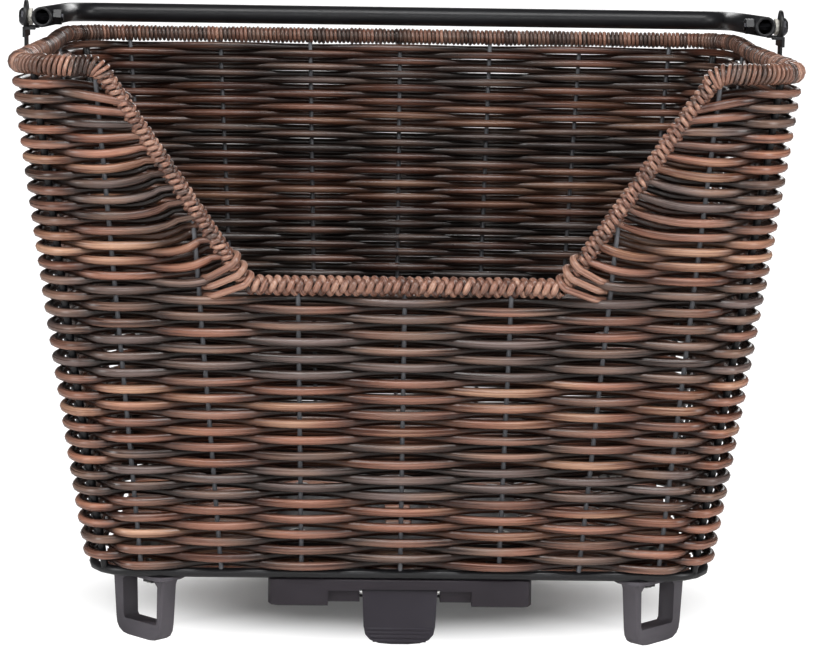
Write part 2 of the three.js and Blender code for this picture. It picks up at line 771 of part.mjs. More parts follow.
// Adapter plate: two deep rails, a thin deck between them and a lip over the lever
const clawBarTop = footHeight - deckThickness - gap;
const pinY = adapterFront + leverPinSetback;
const pinZ = footHeight - leverPinDrop;
const leverHalf = leverWidth / 2;
const leverRoomHalf = leverHalf + leverSideClearance;
const heelHalf = leverHalf - leverHeelInset;
const heelTop = footHeight - lipHeight - 2 * gap;
const heelBottom = heelTop - leverHeelThickness;
const coilRadius = springCoilDiameter / 2;
const coilFront = pinY - coilRadius - springWire / 2;
const coilRoomHalf = (springTurns * springPitch + springWire) / 2 + 2 * gap;
const springLegZ = pinZ - coilRadius;
const springSlotFloor = springLegZ - springWire / 2 - gap;

// A rod on the lever pin's axis
function alongPin(half, radius, sides) {
  return rod(new THREE.Vector3(-half, pinY, pinZ), new THREE.Vector3(half, pinY, pinZ), radius, sides);
}

function railPocket(side, from, to) {
  const inner = channelHalf + railWall;
  const outer = adapterLength / 2 - railWall;
  const middle = (side * (inner + outer)) / 2;
  const shape = roundedShape((outer - inner) / 2, (to - from) / 2, adapterCornerRadius / 2);
  const geometry = prism(shape, adapterBottom - overshoot, footHeight - railTop);
  geometry.translate(middle, (from + to) / 2, 0);
  return solid(geometry);
}

// A claw: a post down from its bar and a hook forward under the carrier's tube
function rearClaw(x) {
  const shape = new THREE.Shape();
  const root = clawBarTop - clawBarHeight;
  const tip = adapterBottom - clawDrop;
  const back = adapterRear - gap;
  const post = back - clawThickness;
  const hook = back - clawReach;
  shape.moveTo(back, clawBarTop - clawBarHeight / 2);
  shape.lineTo(post, clawBarTop - clawBarHeight / 2);
  shape.lineTo(post - clawGusset, root);
  shape.lineTo(post, root - clawGusset);
  shape.lineTo(post, tip + 1.2 * clawThickness);
  shape.lineTo(hook, tip + 0.8 * clawThickness);
  shape.lineTo(hook, tip + 0.3 * clawThickness);
  shape.lineTo(hook + 0.6 * clawThickness, tip);
  shape.lineTo(back - 0.6 * clawThickness, tip);
  shape.lineTo(back, tip + 0.8 * clawThickness);
  const geometry = prism(shape, -clawWidth / 2, clawWidth / 2, 0.6);
  geometry.rotateX(Math.PI / 2);
  geometry.rotateZ(Math.PI / 2);
  geometry.translate(x, 0, 0);
  return solid(geometry);
}

// The bar under the deck's rear edge, with a tongue at each end and its two claws
function clawBar() {
  const front = adapterRear - clawBarWidth;
  const half = channelHalf - gap;
  const bar = (reach, bottom, top) => box(-reach, reach, front, adapterRear - gap, bottom, top);
  const third = clawBarHeight / 3;
  return bar(half, clawBarTop - clawBarHeight, clawBarTop)
    .add(bar(half + clawBarTongue, clawBarTop - 2 * third, clawBarTop - third))
    .add(rearClaw(-clawX))
    .add(rearClaw(clawX));
}

function clawBarRoom() {
  const third = clawBarHeight / 3;
  const reach = channelHalf + clawBarTongue;
  const front = adapterRear - clawBarWidth - gap;
  return box(-reach, reach, front, adapterRear + overshoot,
    clawBarTop - 2 * third - gap, clawBarTop - third + gap);
}

function adapterPlate() {
  const outline = roundedShape(adapterLength / 2, adapterWidth / 2, adapterCornerRadius);
  const block = prism(outline, adapterBottom, footHeight, 0.6);
  block.translate(0, adapterFront + adapterWidth / 2, 0);
  const lipBack = adapterFront + lipDepth;
  const bridgeBack = lipBack + bridgeDepth;
  const under = adapterBottom - overshoot;
  const channel = (from, to, top) => box(-channelHalf, channelHalf, from, to, under, footHeight - top);
  let body = solid(block)
    .subtract(channel(bridgeBack, adapterRear + overshoot, deckThickness))
    .subtract(channel(adapterFront - overshoot, adapterFront + cheekSetback, lipHeight))
    .subtract(channel(adapterFront, lipBack, cheekHeight))
    .subtract(box(-leverRoomHalf, leverRoomHalf, adapterFront, lipBack, under, footHeight - lipHeight))
    .subtract(channel(lipBack - overshoot, bridgeBack + overshoot, bridgeHeight));
  // The lever's pocket: a round seat for its barrel, open below and to the front
  const barrelRoom = leverBarrelDiameter / 2 + leverPinClearance;
  const pocketTop = pinZ + barrelRoom / 2;
  const pocketBack = pinY + 2 * barrelRoom;
  body = body
    .subtract(alongPin(leverRoomHalf, barrelRoom, barrelSides))
    .subtract(box(-leverRoomHalf, leverRoomHalf, adapterFront - overshoot, pocketBack, under, pocketTop))
    .subtract(alongPin(leverRoomHalf + leverPinSeat + gap, leverPinDiameter / 2 + gap, pinSides));
  // The slot in the bridge that holds the lever spring's long leg
  const legBack = adapterFront + lipDepth + springLegHold + gap;
  body = body.subtract(box(-coilRoomHalf, coilRoomHalf, adapterFront + lipDepth - overshoot, legBack,
    springSlotFloor, springLegZ + springWire / 2 + gap));
  // Hollows under the rails, between the screws
  const middle = (adapterScrewFrontY + adapterScrewRearY) / 2;
  const bays = [
    [adapterFront + railWall, adapterScrewFrontY - railScrewBlock / 2],
    [adapterScrewFrontY + railScrewBlock / 2, middle - railRib / 2],
    [middle + railRib / 2, adapterScrewRearY - railScrewBlock / 2],
    [adapterScrewRearY + railScrewBlock / 2, adapterRear - clawBarWidth - railWall],
  ];
  for (const [from, to] of bays) {
    body = body.subtract(railPocket(-1, from, to)).subtract(railPocket(1, from, to));
  }
  for (const [, x, y] of adapterScrewPlaces()) {
    const nutTop = adapterBottom + adapterNutRecess + adapterNutHeight + gap;
    const nutRoom = upright(0, 0, (adapterNutAcross / 2 + gap) / Math.cos(Math.PI / 6), under, nutTop, 6);
    body = body
      .subtract(upright(x, y, adapterScrewDiameter / 2 + gap, under, footHeight + overshoot))
      .subtract(nutRoom.translate([x, y, 0]));
  }
  return body.subtract(clawBarRoom());
}

place('adapter_plate', adapterPlate(), moulded);
place('claw_bar', clawBar(), moulded);

function counterPlate() {
  const middle = (adapterScrewFrontY + adapterScrewRearY) / 2;
  const bottom = floorTop + gap;
  const halfLength = adapterScrewX + counterPlateSideMargin;
  const halfWidth = (adapterScrewRearY - adapterScrewFrontY) / 2 + counterPlateEndMargin;
  const outline = prism(roundedShape(halfLength, halfWidth, counterPlateRadius), bottom, counterPlateTop);
  outline.translate(0, middle, 0);
  let body = solid(outline);
  const slotHalfWidth = counterSlotWidth / 2;
  const slot = roundedShape(slotHalfWidth, halfWidth - 2 * counterPlateRadius, slotHalfWidth - 1);
  for (const x of [-counterSlotPitch, 0, counterSlotPitch]) {
    const cut = prism(slot, bottom - overshoot, counterPlateTop + overshoot);
    cut.translate(x, middle, 0);
    body = body.subtract(solid(cut));
  }
  for (const [, x, y] of adapterScrewPlaces()) {
    body = body.subtract(upright(x, y, adapterScrewDiameter / 2 + gap, 0, rimTop));
  }
  return body;
}

place('counter_plate', counterPlate(), blackSteel);

for (const [corner, x, y] of adapterScrewPlaces()) {
  const seat = counterPlateTop + gap;
  const nutBottom = adapterBottom + adapterNutRecess;
  place(`adapter_screw_${corner}`,
    panScrew(adapterScrewDiameter, seat - nutBottom - adapterNutRecess), zinc)
    .position.set(x, y, seat);
  place(`adapter_nut_${corner}`, hexNut(adapterScrewDiameter, adapterNutAcross, adapterNutHeight), zinc)
    .position.set(x, y, nutBottom);
}

// Release lever: a side profile drawn across the basket, cut to its front outline
function leverProfile() {
  const r = leverBarrelDiameter / 2;
  const front = pinY - r;
  const back = front + leverThickness;
  const nose = leverBottom + leverNoseHeight;
  const shape = new THREE.Shape();
  shape.moveTo(front, pinZ);
  shape.lineTo(front, leverBottom + leverBottomRadius);
  shape.lineTo(front - leverKick, leverBottom + leverBottomRadius / 3);
  shape.lineTo(front - 0.75 * leverKick, leverBottom);
  shape.lineTo(back - leverKick, leverBottom);
  shape.lineTo(back, leverBottom + leverKick);
  shape.lineTo(back + leverNoseReach, nose);
  shape.lineTo(back + leverNoseReach, nose + leverNoseThickness);
  shape.lineTo(back, nose + 1.75 * leverNoseThickness);
  shape.lineTo(back, pinZ - gap);
  shape.lineTo(pinY, pinZ);
  return shape;
}

function leverOutline() {
  const r = leverBottomRadius;
  const top = pinZ + leverBarrelDiameter;
  const foot = leverHalf - leverSideDraft;
  const shape = new THREE.Shape();
  shape.moveTo(-leverHalf, top);
  shape.lineTo(-foot, leverBottom + r);
  shape.quadraticCurveTo(-foot, leverBottom, -foot + leverBottomRun, leverBottom);
  shape.lineTo(foot - leverBottomRun, leverBottom);
  shape.quadraticCurveTo(foot, leverBottom, foot, leverBottom + r);
  shape.lineTo(leverHalf, top);
  return shape;
}

function releaseLever() {
  const profile = prism(leverProfile(), -leverHalf, leverHalf);
  profile.rotateX(Math.PI / 2);
  profile.rotateZ(Math.PI / 2);
  const outline = prism(leverOutline(), -leverWidth, leverWidth);
  outline.rotateX(Math.PI / 2);
  outline.translate(0, pinY, 0);
  const barrel = alongPin(leverHalf, leverBarrelDiameter / 2, barrelSides);
  let body = solid(profile).add(barrel).intersect(solid(outline));
  const front = pinY - leverBarrelDiameter / 2;
  const lean = (z) => leverKick * THREE.MathUtils.clamp(
    1.5 * (1 - (z - leverBottom) / leverBottomRadius), 0, 1);
  for (let rib = 0; rib < leverGripRibs; rib += 1) {
    const z = leverBottom + (rib + 1) * leverRibPitch;
    const half = leverHalf - (leverGripRibs + 2 - rib);
    const y = front - lean(z) + 0.3 * leverRibRadius;
    const ends = [new THREE.Vector3(-half, y, z), new THREE.Vector3(half, y, z)];
    body = body.add(rod(...ends, leverRibRadius, wireSides));
  }
  // Heel that meets the bridge when the lever is home
  const inside = front + leverThickness / 2;
  body = body.add(box(-heelHalf, heelHalf, inside, adapterFront + lipDepth - gap, heelBottom, heelTop));
  return body
    .subtract(alongPin(leverWidth, leverPinDiameter / 2 + gap, pinSides))
    .subtract(box(-coilRoomHalf, coilRoomHalf, coilFront - gap, adapterFront + lipDepth,
      springSlotFloor, pinZ + leverBarrelDiameter));
}

function leverPin() {
  return alongPin(leverRoomHalf + leverPinSeat, leverPinDiameter / 2, pinSides);
}

// Torsion spring: a coil round the pin, its long leg held in the bridge, its short leg on the lever
function springPath() {
  const reach = (springTurns * springPitch) / 2;
  const path = [new THREE.Vector3(-reach, adapterFront + lipDepth + springLegHold, springLegZ)];
  const steps = springTurns * 8;
  for (let step = 0; step <= steps; step += 1) {
    const turn = -Math.PI / 2 - (step / 8) * 2 * Math.PI;
    const x = (step / 8) * springPitch - reach;
    path.push(new THREE.Vector3(x, pinY + coilRadius * Math.cos(turn), pinZ + coilRadius * Math.sin(turn)));
  }
  path.push(new THREE.Vector3(reach, coilFront, springLegZ));
  return path;
}

function leastGapToItself(path, wire, apart) {
  let least = Infinity;
  for (let a = 0; a < path.length; a += 1) {
    for (let b = a + apart; b < path.length; b += 1) {
      least = Math.min(least, path[a].distanceTo(path[b]) - wire);
    }
  }
  return least;
}

const coilPath = springPath();
console.log(`lever spring, least gap to itself: ${leastGapToItself(coilPath, springWire, 6).toFixed(2)} mm`);

place('release_lever', releaseLever(), moulded);
place('lever_pin', leverPin(), zinc);
place('lever_spring', sweep(coilPath, springWire / 2, 5), zinc);

// Carrying handle: a bent tube, open at both ends
const handleX = rimHalfLength;
const handleRadius = handleTubeDiameter / 2;

function handlePath(extra) {
  const at = (x, y) => new THREE.Vector3(x, y, pivotHeight - handleFall * y);
  const tail = -handleTail - extra;
  return filletPath([
    { point: at(-handleX, tail), radius: 0 },
    { point: at(-handleX, handleReach), radius: handleBendRadius },
    { point: at(handleX, handleReach), radius: handleBendRadius },
    { point: at(handleX, tail), radius: 0 },
  ], false, cornerSteps);
}

function handleTube() {
  const ends = [-rimLength, rimLength].map((x) => new THREE.Vector3(x, 0, pivotHeight));
  const across = rod(...ends, pivotBoltDiameter / 2 + gap, pinSides);
  return sweep(handlePath(0), handleRadius, wrapSides)
    .subtract(sweep(handlePath(overshoot), handleRadius - handleTubeWall, tubeBoreSides))
    .subtract(across);
}

place('handle_tube', handleTube(), blackSteel);

// Bracket: a bent strip up the outside of the wall, with a round head and two stop ears
const bracketInner = rimLength / 2 + bracketInset;
const bracketOuter = bracketInner + bracketThickness;
const earInner = bracketOuter - earReach;
const earTop = pivotHeight - (handleFall * earSpan) / 2
  - Math.sqrt(handleRadius ** 2 - (earInner - handleX) ** 2) - gap;

function bracketStrip() {
  const hug = (height) => wallAt(height).halfLength + wallHalf + gap / Math.cos(wallTilt);
  const across = bracketThickness / Math.cos(wallTilt);
  const shoulder = bracketBend + bracketNeck;
  const shape = new THREE.Shape();
  shape.moveTo(hug(bracketFoot), bracketFoot);
  shape.lineTo(hug(bracketBend), bracketBend);
  shape.lineTo(bracketInner, shoulder);
  shape.lineTo(bracketOuter, shoulder);
  shape.lineTo(hug(bracketBend) + across, bracketBend);
  shape.lineTo(hug(bracketFoot) + across, bracketFoot);
  const geometry = prism(shape, -bracketWidth / 2, bracketWidth / 2);
  geometry.rotateX(Math.PI / 2);
  const neckHalf = bracketNeckWidth / 2;
  return solid(geometry)
    .add(box(bracketInner, bracketOuter, -neckHalf, neckHalf, shoulder - bracketThickness, pivotHeight));
}

function handleBracket() {
  const axis = (x) => new THREE.Vector3(x, 0, pivotHeight);
  const head = rod(axis(bracketInner), axis(bracketOuter), bracketHeadRadius, 16);
  const half = earSpan / 2;
  const earBottom = earTop - bracketThickness;
  const yoke = box(bracketInner, bracketOuter, -half, half, earBottom - bracketYoke, earTop);
  const ear = (from, to) => box(earInner, bracketOuter, from, to, earBottom, earTop);
  return union([bracketStrip(), head, yoke, ear(-half, -half + earLength), ear(half - earLength, half)])
    .subtract(rod(axis(0), axis(rimLength), pivotBoltDiameter / 2 + gap, pinSides))
    .subtract(bracketScrewRoom(1));
}

function bracketBacking() {
  const high = Math.max(...bracketScrewHeights) + backingMargin;
  const low = Math.min(...bracketScrewHeights) - backingMargin;
  const hug = (height) => wallAt(height).halfLength - wallHalf - gap / Math.cos(wallTilt);
  const across = backingThickness / Math.cos(wallTilt);
  const shape = new THREE.Shape([
    new THREE.Vector2(hug(low), low), new THREE.Vector2(hug(high), high),
    new THREE.Vector2(hug(high) - across, high), new THREE.Vector2(hug(low) - across, low),
  ]);
  const geometry = prism(shape, -bracketWidth / 2, bracketWidth / 2);
  geometry.rotateX(Math.PI / 2);
  return solid(geometry).subtract(bracketScrewRoom(1));
}

function mirrored(body) {
  return body.mirror([1, 0, 0]);
}

// A fastener that stands on z = 0, laid along X at the right-hand pivot
function alongX(body, seat) {
  return body.rotate([0, 90, 0]).translate([seat, 0, pivotHeight]);
}

const spacerInner = handleX + handleRadius + gap;
const spacerLength = bracketInner - spacerInner - gap;
const pivotSeat = bracketOuter + gap;
const pivotNutFace = handleX - handleRadius - gap;
const pivotBoltLength = pivotSeat - pivotNutFace + pivotNutHeight + screwTip;

const pivotBolt = alongX(
  panScrew(pivotBoltDiameter, pivotBoltLength, pivotHeadDiameter, pivotHeadHeight), pivotSeat);
const pivotSpacer = alongX(washer(pivotSpacerDiameter, pivotBoltDiameter, spacerLength), spacerInner);
const pivotNut = alongX(
  hexNut(pivotBoltDiameter, pivotNutAcross, pivotNutHeight), pivotNutFace - pivotNutHeight);

function bracketScrew(height) {
  const seat = wallHalfNormal + bracketThickness + 2 * gap;
  const far = wallHalfNormal + backingThickness + 2 * gap;
  const body = panScrew(bracketScrewDiameter, seat + far + bracketNutHeight + screwTip);
  return placed(body.translate([0, 0, seat]), wallFrame(1, height));
}

function bracketNut(height) {
  const far = wallHalfNormal + backingThickness + 2 * gap;
  const nut = hexNut(bracketScrewDiameter, bracketNutAcross, bracketNutHeight);
  return placed(nut.translate([0, 0, -far - bracketNutHeight]), wallFrame(1, height));
}

for (const [name, side] of [['left', -1], ['right', 1]]) {
  const onSide = (body) => (side > 0 ? body : mirrored(body));
  place(`handle_bracket_${name}`, onSide(handleBracket()), blackSteel);
  place(`bracket_backing_${name}`, onSide(bracketBacking()), blackSteel);
  place(`pivot_bolt_${name}`, onSide(pivotBolt), zinc);
  place(`pivot_spacer_${name}`, onSide(pivotSpacer), nylon);
  place(`pivot_nut_${name}`, onSide(pivotNut), zinc);
  bracketScrewHeights.forEach((height, at) => {
    const row = at === 0 ? 'upper' : 'lower';
    place(`bracket_screw_${name}_${row}`, onSide(bracketScrew(height)), zinc);
    place(`bracket_nut_${name}_${row}`, onSide(bracketNut(height)), zinc);
  });
}

export default basket;
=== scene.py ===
# %% [markdown]
# A woven basket for a bicycle's rear carrier.
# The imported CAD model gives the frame: every wire, plate, foot and screw is already in its place.
# This lesson dresses it. The CAD walls are plain closed solids, so they are replaced by real
# strands that pass in front of one stake and behind the next, as a weaver lays them.

# %% Open the frame
import math
import random

import bmesh
import bpy
import numpy as np
from mathutils import Matrix, Vector


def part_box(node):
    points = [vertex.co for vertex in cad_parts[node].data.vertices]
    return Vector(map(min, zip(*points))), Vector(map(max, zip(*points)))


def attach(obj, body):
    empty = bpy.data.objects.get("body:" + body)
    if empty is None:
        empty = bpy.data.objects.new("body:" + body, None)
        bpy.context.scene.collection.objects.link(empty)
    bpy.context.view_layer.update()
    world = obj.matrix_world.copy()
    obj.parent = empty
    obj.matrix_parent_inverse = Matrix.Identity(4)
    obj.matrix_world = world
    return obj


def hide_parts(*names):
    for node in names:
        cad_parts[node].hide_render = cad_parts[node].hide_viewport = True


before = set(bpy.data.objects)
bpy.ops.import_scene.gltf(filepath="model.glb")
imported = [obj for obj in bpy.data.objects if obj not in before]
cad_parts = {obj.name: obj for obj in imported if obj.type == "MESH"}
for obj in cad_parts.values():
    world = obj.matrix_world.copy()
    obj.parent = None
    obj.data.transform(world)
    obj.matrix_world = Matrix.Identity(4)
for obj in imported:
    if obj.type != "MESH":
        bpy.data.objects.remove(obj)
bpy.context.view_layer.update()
mm = 0.001

# %% [markdown]
# The camera stands 1.5 m in front of the basket, a little above the rim and a little to the left,
# with a long lens, so the walls hardly converge. It could be placed by eye, but here its
# place and turn were solved from the rim, the notch, the base and the feet in the photograph.
# Yaw, pitch and roll turn it about the upright, the sideways and the viewing axis.

# %% Camera
camera_place = Vector((-25.6, -1546.6, 387.4)) * mm
camera_yaw = 0.0190
camera_pitch = 0.1515
camera_roll = 0.0147
lens_length = 126.45  # on a sensor 36 mm wide

camera_data = bpy.data.cameras.new("camera")
camera_data.sensor_width = 36
camera_data.lens = lens_length
camera = bpy.data.objects.new("camera", camera_data)
bpy.context.collection.objects.link(camera)
turn = (Matrix.Rotation(-camera_yaw, 4, "Z") @ Matrix.Rotation(math.pi / 2 - camera_pitch, 4, "X")
        @ Matrix.Rotation(camera_roll, 4, "Z"))
camera.matrix_world = Matrix.Translation(camera_place) @ turn
bpy.context.scene.camera = camera
print("camera looks along", [round(v, 3) for v in turn @ Vector((0, 0, -1))])

# %% [markdown]
# A part for a library has to look right in any light, so the studio is plain: a wide soft light
# above, one on each side, weak ones behind the camera and behind the basket, and a dim room. The
# one above is the strongest, because a woven wall reads by the upper side of each strand. The
# room and the far floor turn white only for the camera, so no extra light falls on the object.

# %% Colour and node helpers
def colour(code):
    """An sRGB hex value as the linear colour that Blender's sockets take."""
    values = [int(code[at:at + 2], 16) / 255 for at in (1, 3, 5)]
    linear = [v / 12.92 if v <= 0.04045 else ((v + 0.055) / 1.055) ** 2.4 for v in values]
    return (*linear, 1.0)


def add(tree, kind, settings=None, **links):
    """Adds a node: settings are its own values, links are socket values or other nodes' outputs."""
    node = tree.nodes.new(kind)
    for name, value in (settings or {}).items():
        setattr(node, name, value)
    for name, value in links.items():
        key = int(name[1:]) if name[0] == "i" and name[1:].isdigit() else name.replace("_", " ")
        socket = node.inputs[key]
        if isinstance(value, bpy.types.NodeSocket):
            tree.links.new(value, socket)
        else:
            socket.default_value = value
    return node


def calc(tree, operation, *values):
    """The result of a maths node on its values in order."""
    numbered = {f"i{at}": value for at, value in enumerate(values)}
    return add(tree, "ShaderNodeMath", {"operation": operation}, **numbered).outputs[0]


def mixed(tree, share, first, second):
    """A blend of two colours. A share of 0 is all the first."""
    node = add(tree, "ShaderNodeMix", {"data_type": "RGBA"}, i0=share, i6=first, i7=second)
    return node.outputs[2]


def mapped(tree, value, low, high, start=0.0, stop=1.0):
    """A value that runs from start to stop, made to run from low to high."""
    return add(tree, "ShaderNodeMapRange", Value=value, From_Min=start, From_Max=stop,
               To_Min=low, To_Max=high).outputs[0]


def new_material(name):
    material = bpy.data.materials.new(name)
    material.use_nodes = True
    material.node_tree.nodes.clear()
    return material, material.node_tree


# %% Lights and room
def soft_light(name, place, target, size, power):
    """A rectangular lamp. Place, target and size are in metres and power is in watts."""
    lamp = bpy.data.lights.new(name, "AREA")
    lamp.shape = "RECTANGLE"
    lamp.size, lamp.size_y = size
    lamp.energy = power
    holder = bpy.data.objects.new(name, lamp)
    bpy.context.collection.objects.link(holder)
    place = Vector(place)
    aim = (Vector(target) - place).to_track_quat("-Z", "Y")
    holder.matrix_world = Matrix.Translation(place) @ aim.to_matrix().to_4x4()


middle = (0, 0, 0.16)
soft_light("top_light", (0.0, -0.9, 1.6), middle, (1.4, 0.4), 22)
soft_light("front_light", (0.0, -1.9, 0.6), middle, (0.8, 0.25), 5)
soft_light("back_light", (0.3, 1.7, 0.8), middle, (1.0, 0.5), 7)
soft_light("left_light", (-1.5, -1.1, 0.75), middle, (0.4, 0.8), 15)
soft_light("right_light", (1.5, -1.1, 0.75), middle, (0.4, 0.8), 15)

world = bpy.data.worlds.new("pale_room")
bpy.context.scene.world = world
world.use_nodes = True
room = world.node_tree
room.nodes.clear()
path = add(room, "ShaderNodeLightPath")
seen = calc(room, "MAXIMUM", path.outputs["Is Camera Ray"], path.outputs["Is Transmission Ray"])
dim = add(room, "ShaderNodeBackground", Color=colour("#ffffff"), Strength=0.1)
white = add(room, "ShaderNodeBackground", Color=colour("#ffffff"), Strength=1.0)
both = add(room, "ShaderNodeMixShader", i0=seen, i1=dim.outputs[0], i2=white.outputs[0])
add(room, "ShaderNodeOutputWorld", Surface=both.outputs[0])
bpy.context.scene.view_settings.view_transform = "Standard"

# %% [markdown]
# The floor is pale and matt. Under the basket it is nearly plain, so it keeps the basket's
# shadow. Farther out it blends into a white glow that only the camera sees, by the distance from
# the middle, so no horizon shows. The plain patch is an oval, because the basket is wider than
# deep.

# %% Floor
plain_patch = (0.245, 0.13)  # half length and half width of the oval, in metres
glow_from, glow_full = 0.36, 0.9  # shares of the oval where the glow grows and where it is full
least_glow = 0.08
floor_reach = 30.0

floor_mesh = bpy.data.meshes.new("floor")
floor_shape = bmesh.new()
bmesh.ops.create_grid(floor_shape, x_segments=1, y_segments=1, size=floor_reach)
floor_shape.to_mesh(floor_mesh)
floor_shape.free()
floor = bpy.data.objects.new("floor", floor_mesh)
bpy.context.collection.objects.link(floor)

floor_paint, tree = new_material("pale_floor")
path = add(tree, "ShaderNodeLightPath")
place = add(tree, "ShaderNodeTexCoord")
oval = add(tree, "ShaderNodeVectorMath", {"operation": "MULTIPLY"},
           i0=place.outputs["Object"], i1=(1 / plain_patch[0], 1 / plain_patch[1], 1.0))
reach = add(tree, "ShaderNodeVectorMath", {"operation": "LENGTH"}, i0=oval.outputs[0])
far = add(tree, "ShaderNodeMapRange", {"interpolation_type": "SMOOTHSTEP"},
          Value=reach.outputs["Value"], From_Min=glow_from, From_Max=glow_full,
          To_Min=least_glow)
share = calc(tree, "MULTIPLY", path.outputs["Is Camera Ray"], far.outputs[0])
matt = add(tree, "ShaderNodeBsdfDiffuse", Color=colour("#f0efee"))
glow = add(tree, "ShaderNodeEmission", Color=colour("#ffffff"), Strength=1.2)
blend = add(tree, "ShaderNodeMixShader", i0=share, i1=matt.outputs[0], i2=glow.outputs[0])
add(tree, "ShaderNodeOutputMaterial", Surface=blend.outputs[0])
floor_mesh.materials.append(floor_paint)

# %% [markdown]
# The wall is a rounded rectangle that grows from the base ring to the rim. Every strand
# needs to know where that surface is, so the first helper walks along it: a distance
# from the middle of the front, a height, and how far outside the wall's middle it stands.
# The wall leans out, so a step square to it goes a little down outside and up inside.
# The sizes are those of the CAD model's wires. The pull of the weave bows the short sides
# out by a millimetre at half height.

# %% The wall's middle surface
ring_height = 38.8 * mm
ring_half_length = 159.5 * mm
ring_half_width = 110.5 * mm
ring_corner = 23.5 * mm
rim_height = 300 * mm
rim_half_length = 194 * mm
rim_half_width = 144 * mm
rim_corner = 30 * mm
slope = (rim_half_width - ring_half_width) / (rim_height - ring_height)
side_bow = 1 * mm


def wall_at(height):
    """Half length, half width and corner radius of the wall's middle at a height, or at many."""
    share = (height - ring_height) / (rim_height - ring_height)
    low = (ring_half_length, ring_half_width, ring_corner)
    high = (rim_half_length, rim_half_width, rim_corner)
    a, b, r = (start + (stop - start) * share for start, stop in zip(low, high))
    return a + side_bow * np.sin(math.pi * np.clip(share, 0, 1)), b, r


def wall_length(height):
    a, b, r = wall_at(height)
    return 4 * (a - r) + 4 * (b - r) + 2 * math.pi * r


def wall_point(along, height, offset=0.0):
    """A point of the wall: along runs to the right from the middle of the front."""
    a, b, r = wall_at(height)
    along = along % wall_length(height)
    x, y = 0.0, -b
    heading = 0.0
    bend = (r * math.pi / 2, r)
    runs = ((a - r, 0), bend, (2 * (b - r), 0), bend, (2 * (a - r), 0), bend,
            (2 * (b - r), 0), bend, (a - r, 0))
    for length, radius in runs:
        step = min(along, length)
        if radius:
            centre_x = x - radius * math.sin(heading)
            centre_y = y + radius * math.cos(heading)
            heading += step / radius
            x = centre_x + radius * math.sin(heading)
            y = centre_y - radius * math.cos(heading)
        else:
            x += step * math.cos(heading)
            y += step * math.sin(heading)
        along -= step
        if along <= 1e-12:
            break
    return Vector((x + offset * math.sin(heading), y - offset * math.cos(heading),
                   height - offset * slope))


# %% [markdown]
# The stakes are the upright wires. Seven stand in the front and in the back, four in each side,
# and one in each corner. Their number is even, so a strand that is outside at one stake is
# inside at the next all the way round, and the row above does the opposite. The front's stakes
# are listed one by one round the notch, so they are given as shares of the wall's half length.
# The corner stakes are thicker, because the whole pull of the rows bears on them.

# %% Stakes
long_stakes = 3  # in the front and in the back, on each side of the middle one
back_pitch = (46 * mm, 53 * mm)  # at the ring and at the rim
front_shares_low = (0, 0.318, 0.576, 0.833)
front_shares_high = (0, 0.286, 0.574, 0.792)
side_stakes = (-1.5, -0.5, 0.5, 1.5)
side_pitch = (41 * mm, 52 * mm)
corner_angle = math.radians(47)
stake_radius = 1.2 * mm
corner_stake_radius = 2.0 * mm
corner_stakes = (4, 9, 17, 22)  # counted from the middle of the front
back_stake = 13  # the middle one of the back


def stake_places(height):
    """How far along the wall each stake stands at a height, from the middle of the front."""
    a, b, r = wall_at(height)
    share = (height - ring_height) / (rim_height - ring_height)
    front = [low * ring_half_length * (1 - share) + high * rim_half_length * share
             for low, high in zip(front_shares_low, front_shares_high)]
    back_step = back_pitch[0] + (back_pitch[1] - back_pitch[0]) * share
    side = side_pitch[0] + (side_pitch[1] - side_pitch[0]) * share
    quarter = r * math.pi / 2
    right = (a - r) + quarter
    back = right + 2 * (b - r) + quarter
    left = back + 2 * (a - r) + quarter
    whole = wall_length(height)
    turn_in = r * corner_angle
    places = list(front)
    places.append(right - turn_in)
    places += [right + (b - r) + side * at for at in side_stakes]
    places.append(right + 2 * (b - r) + turn_in)
    places += [back + (a - r) - back_step * at for at in range(long_stakes, -long_stakes - 1, -1)]
    places.append(left - turn_in)
    places += [left + (b - r) + side * at for at in side_stakes]
    places.append(left + 2 * (b - r) + turn_in)
    places += [whole - step for step in front[:0:-1]]
    return places


print("stakes round the wall:", len(stake_places(rim_height)))

# %% [markdown]
# A strand is a curve with a round section. Curves are the quick way to sweep a section
# along a path, and the mesh that comes out has its rings in order. Three facts are stored on
# each vertex: its place on the strand as if it were pulled straight, so that the cane's grain
# runs lengthwise however the strand bends, the strand's tone, and how proud it stands, from 0
# deep in the work to 1 on top of it.

# %% From paths to one mesh of strands
apart_along, apart_across = 3.7, 0.011  # metres between two strands in the grain, so none match


def strand_of(points, radii, tone, proud=0.0, closed=False):
    """A strand for strand_mesh. Radii, tone and proud are one value or one for each point."""
    return {"points": points, "radii": radii, "tone": tone, "proud": proud, "closed": closed}


